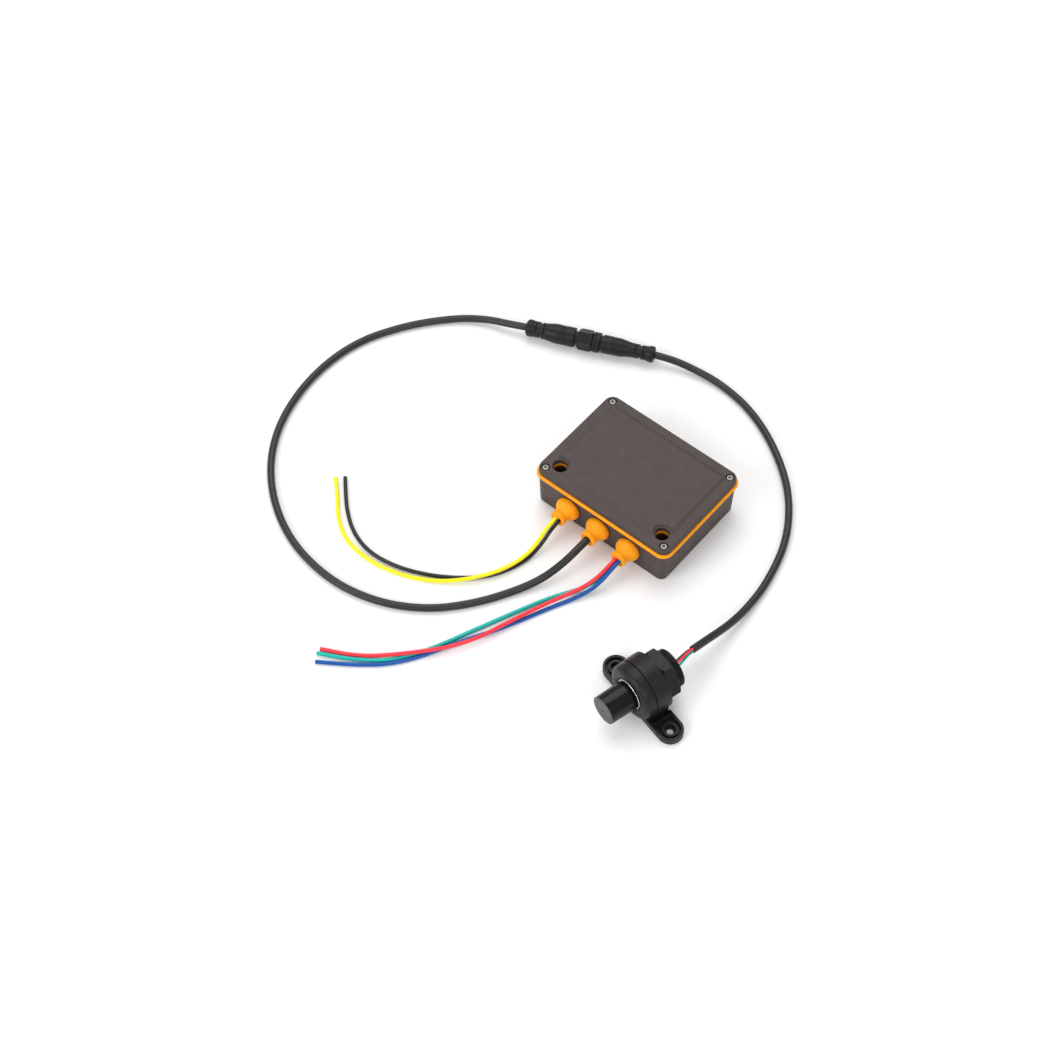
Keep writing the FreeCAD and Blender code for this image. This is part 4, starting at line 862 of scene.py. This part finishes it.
HEAD_YAW = math.radians(-14.4)
HEAD = placed((99.6, -119.4, 20.8), (math.cos(HEAD_YAW), math.sin(HEAD_YAW), 0), (0, 0, -1),
              (-math.sin(HEAD_YAW), math.cos(HEAD_YAW), 0))


def make_head():
    ridges = []
    for number in range(6):
        start = 9.0 + 2.0 * number
        ridges += [(start, 12.75, 0.2), (start + 0.6, 13.55, 0.15),
                   (start + 1.1, 13.55, 0.15), (start + 1.7, 12.75, 0.2)]
    lathe("head_moulding", "black_plastic", "head", [
        (-11.3, 11.2, 0.1), (-12.2, 12.0, 0.4), (-12.9, 13.4, 0.6), (-13.0, 15.2, 0.8),
        (-12.5, 17.2, 1.0), (-11.0, 19.1, 1.2), (-9.2, 19.6, 0.9), (-4.2, 19.6, 0.35),
        (-4.2, 13.6, 0.1), (7.8, 13.6, 0.1), (8.3, 12.75, 0.1),
    ] + ridges + [
        (21.0, 12.75, 0.1), (21.2, 13.5, 0.1), (22.4, 13.3, 0.4), (22.4, 11.6, 0.3),
        (-5.4, 11.6, 0), (-5.4, 10.2, 0), (-9.6, 10.2, 0), (-9.6, 11.2, 0),
    ], HEAD, ["head_housing"], segments=160)

    def key_notch(along, angle, radius):
        mark = window(along, -31.2, 1.1, 0.2) * window(angle, 4.97, 0.075, 0.03)
        return radius - 0.75 * mark if radius > 9.5 else radius

    lathe("probe_moulding", "gloss_black", "head", [
        (-31.9, 8.9, 0), (-31.9, 9.85, 0.2), (-23.6, 10.1, 1.0), (-5.6, 10.1, 0.1),
        (-5.6, 8.9, 0),
    ], HEAD, ["probe_sleeve"], shape=key_notch, longest=0.6, segments=160)
    lathe("face_disc", "face_grey", "head", [
        (-32.6, 0.85, 0.08), (-32.6, 9.5, 0.35), (-32.4, 9.84, 0.2), (-31.9, 9.84, 0.05),
        (-31.9, 8.88, 0), (-30.6, 8.88, 0), (-30.6, 0, 0), (-31.3, 0, 0), (-31.3, 0.85, 0.05),
    ], HEAD, ["probe_face"], segments=128)
    lathe("probe_trim", "bright_ring", "head", [
        (-12.2, 10.15, 0.05), (-12.25, 10.75, 0.25), (-11.6, 11.0, 0.3), (-9.6, 11.0, 0.1),
        (-9.6, 10.15, 0.05),
    ], HEAD, ["probe_collar"], segments=128)
    lathe("clamp_nut_moulding", "black_plastic", "nut", [
        (8.4, 13.65, 0.2), (8.4, 17.4, 0.3), (9.8, 18.85, 0.0), (14.6, 18.85, 0.0),
        (16.0, 17.4, 0.3), (16.0, 13.65, 0.2),
    ], HEAD @ Matrix.Rotation(math.radians(24.0), 4, "Z"), ["clamp_nut"],
        shape=hexagon(18.8), longest=0.6, segments=180)


# ---------------------------------------------------------------- electronics

BOARD_TOP = 9.6


def make_chip_legs():
    """Gull-wing legs of the two chips: a foot on the board and a riser beside the body."""
    blocks = []
    for step in range(11):
        shift = (step - 5) * 0.95
        for turn in range(4):
            out = Matrix.Rotation(math.pi / 2 * turn, 3, "Z")
            for reach, height, size in ((6.75, 0.12, (1.1, 0.35, 0.2)),
                                        (6.2, 0.5, (0.25, 0.35, 0.8))):
                place = out @ Vector((reach, shift, height))
                blocks.append((Vector((8, -6, BOARD_TOP)) + place, size, 90 * turn))
    for step in range(7):
        for sign in (-1, 1):
            foot = Vector((-12 + (step - 3) * 1.27, -6 + sign * 3.7, BOARD_TOP + 0.12))
            riser = Vector((foot.x, -6 + sign * 3.2, BOARD_TOP + 0.55))
            blocks += [(foot, (0.45, 1.0, 0.2), 0), (riser, (0.45, 0.25, 0.9), 0)]
    made("chip_legs", blocks_mesh("chip_legs", blocks, soft=0.05), "steel", "box")


def make_small_parts():
    """Chip resistors and capacitors in short rows, with tinned ends."""
    bodies = []
    ends = []
    spots = [(-28 + 4.2 * step, -15.5, 90) for step in range(6)]
    spots += [(-2 + 4.0 * step, -16.5, 90) for step in range(5)]
    spots += [(-24 + 5.0 * step, 1.5, 0) for step in range(5)]
    spots += [(20.0, 2.0 + 2.6 * step, 0) for step in range(3)]
    spots += [(40.0, -4.0 + 3.0 * step, 0) for step in range(4)]
    for across, along, turn in spots:
        aim = Matrix.Rotation(math.radians(turn), 3, "Z")
        middle = Vector((across, along, BOARD_TOP + 0.32))
        bodies.append((middle, (1.3, 1.2, 0.6), turn))
        for sign in (-1, 1):
            ends.append((middle + aim @ Vector((0.85 * sign, 0, 0)), (0.42, 1.25, 0.64), turn))
    made("small_part_bodies", blocks_mesh("small_part_bodies", bodies), "piezo_ceramic", "box")
    made("small_part_ends", blocks_mesh("small_part_ends", ends), "steel", "box")


def make_terminal_screws():
    """Clamp screws down in the terminal blocks, with thin dark blocks laid on as painted shade
    in the screw slots and in the clamp mouths in front.
    """
    meshes = []
    painted_hole_shades = []
    for place, poles in ((-1, 2), (0, 3), (1, 3)):
        for pole in range(poles):
            across = place * PITCH + (pole - (poles - 1) / 2) * 5.08
            top = BOARD_TOP + 8.6
            head = placed((across, -24.0, 0), (1, 0, 0), (0, 1, 0), (0, 0, 1))
            meshes.append(lathe_mesh("clamp_screw", [
                (top - 1.1, 0, 0), (top - 1.1, 1.6, 0.1), (top, 1.6, 0.25), (top, 0, 0),
            ], head, segments=40))
            # Thin dark blocks: painted shade of the clamp mouths, and on the screw heads,
            # painted shade of their slots.
            painted_hole_shades.append(((across, -29.05, BOARD_TOP + 2.6), (3.4, 0.5, 3.4), 0))
            painted_hole_shades.append(((across, -24.0, top + 0.02), (2.7, 0.5, 0.12), 35 + 40 * pole))
    made("terminal_screws", joined_mesh("terminal_screws", meshes), "steel", "box")
    made("terminal_painted_shades", blocks_mesh("terminal_painted_shades", painted_hole_shades, soft=0.1), "chip_black",
         "box")


def make_capacitors():
    """Electrolytic cans: a sleeve with a rolled groove, and a bare top."""
    sleeves = []
    tops = []
    for across, along, radius, height in ((-6, 15, 4, 11.5), (5, 15, 4, 11.5), (19, 14, 5, 13)):
        place = placed((across, along, BOARD_TOP), (1, 0, 0), (0, 1, 0), (0, 0, 1))
        sleeves.append(lathe_mesh("sleeve", [
            (0, 0, 0), (0, radius, 0.5), (1.6, radius, 0.3), (2.1, radius - 0.3, 0.3),
            (2.6, radius, 0.3), (height - 0.1, radius, 0.5), (height, radius - 0.8, 0.1),
            (height - 0.3, 0, 0),
        ], place, segments=64))
        tops.append(lathe_mesh("top", [
            (height - 0.35, 0, 0), (height - 0.35, radius - 0.85, 0),
            (height - 0.05, radius - 0.85, 0.1), (height - 0.12, 0, 0)], place, segments=48))
    made("capacitor_sleeves", joined_mesh("capacitor_sleeves", sleeves), "chip_black", "box",
         ["capacitors"])
    made("capacitor_tops", joined_mesh("capacitor_tops", tops), "can_metal", "box")


def make_coil():
    """The transformer's winding: round turns between two flanges, inside the core."""
    centre = (-28.0, 12.0)
    low = BOARD_TOP + 3.2
    high = BOARD_TOP + 8.8
    flange = 0.6
    turns = 9
    steps = 6
    pitch = (high - low - 2 * flange) / turns
    loops = [rounded_loop(centre, 4.45, 6.95, 1.0, height) for height in (low, low + flange)]
    for number in range(turns):
        for step in range(steps):
            bulge = 0.22 * math.sin(math.pi * (step + 0.5) / steps)
            height = low + flange + pitch * (number + (step + 0.5) / steps)
            loops.append(rounded_loop(centre, 3.9 + bulge, 6.4 + bulge, 1.4, height))
    loops += [rounded_loop(centre, 4.45, 6.95, 1.0, height) for height in (high - flange, high)]
    made("coil_winding", loft_mesh("coil_winding", loops), "coil_former", "box",
         ["transformer_coil"])


def make_crystal():
    """A can with round ends and a flange at its foot."""
    centre = (24.0, -5.0)
    loops = []
    for height, grow in ((0.0, 0.0), (0.45, 0.0), (0.5, -0.45), (2.9, -0.45), (3.25, -0.6),
                         (3.45, -0.95)):
        loops.append(rounded_loop(centre, 5.5 + grow, 2.25 + grow, 2.2 + grow,
                                  BOARD_TOP + height, steps=8))
    made("crystal_can", loft_mesh("crystal_can", loops), "can_metal", "box", ["crystal"])


def make_electronics():
    make_chip_legs()
    make_small_parts()
    make_terminal_screws()
    make_capacitors()
    make_coil()
    make_crystal()


# ---------------------------------------------------------------- the whole scene

make_camera()
make_cords(make_socket(), make_plug())
for entry in frame["record"]["subparts"]:
    dress(NODES[entry["node"]], entry["material_slot"])
make_grommets()
make_lid_screws()
make_head()
make_electronics()
make_stage()
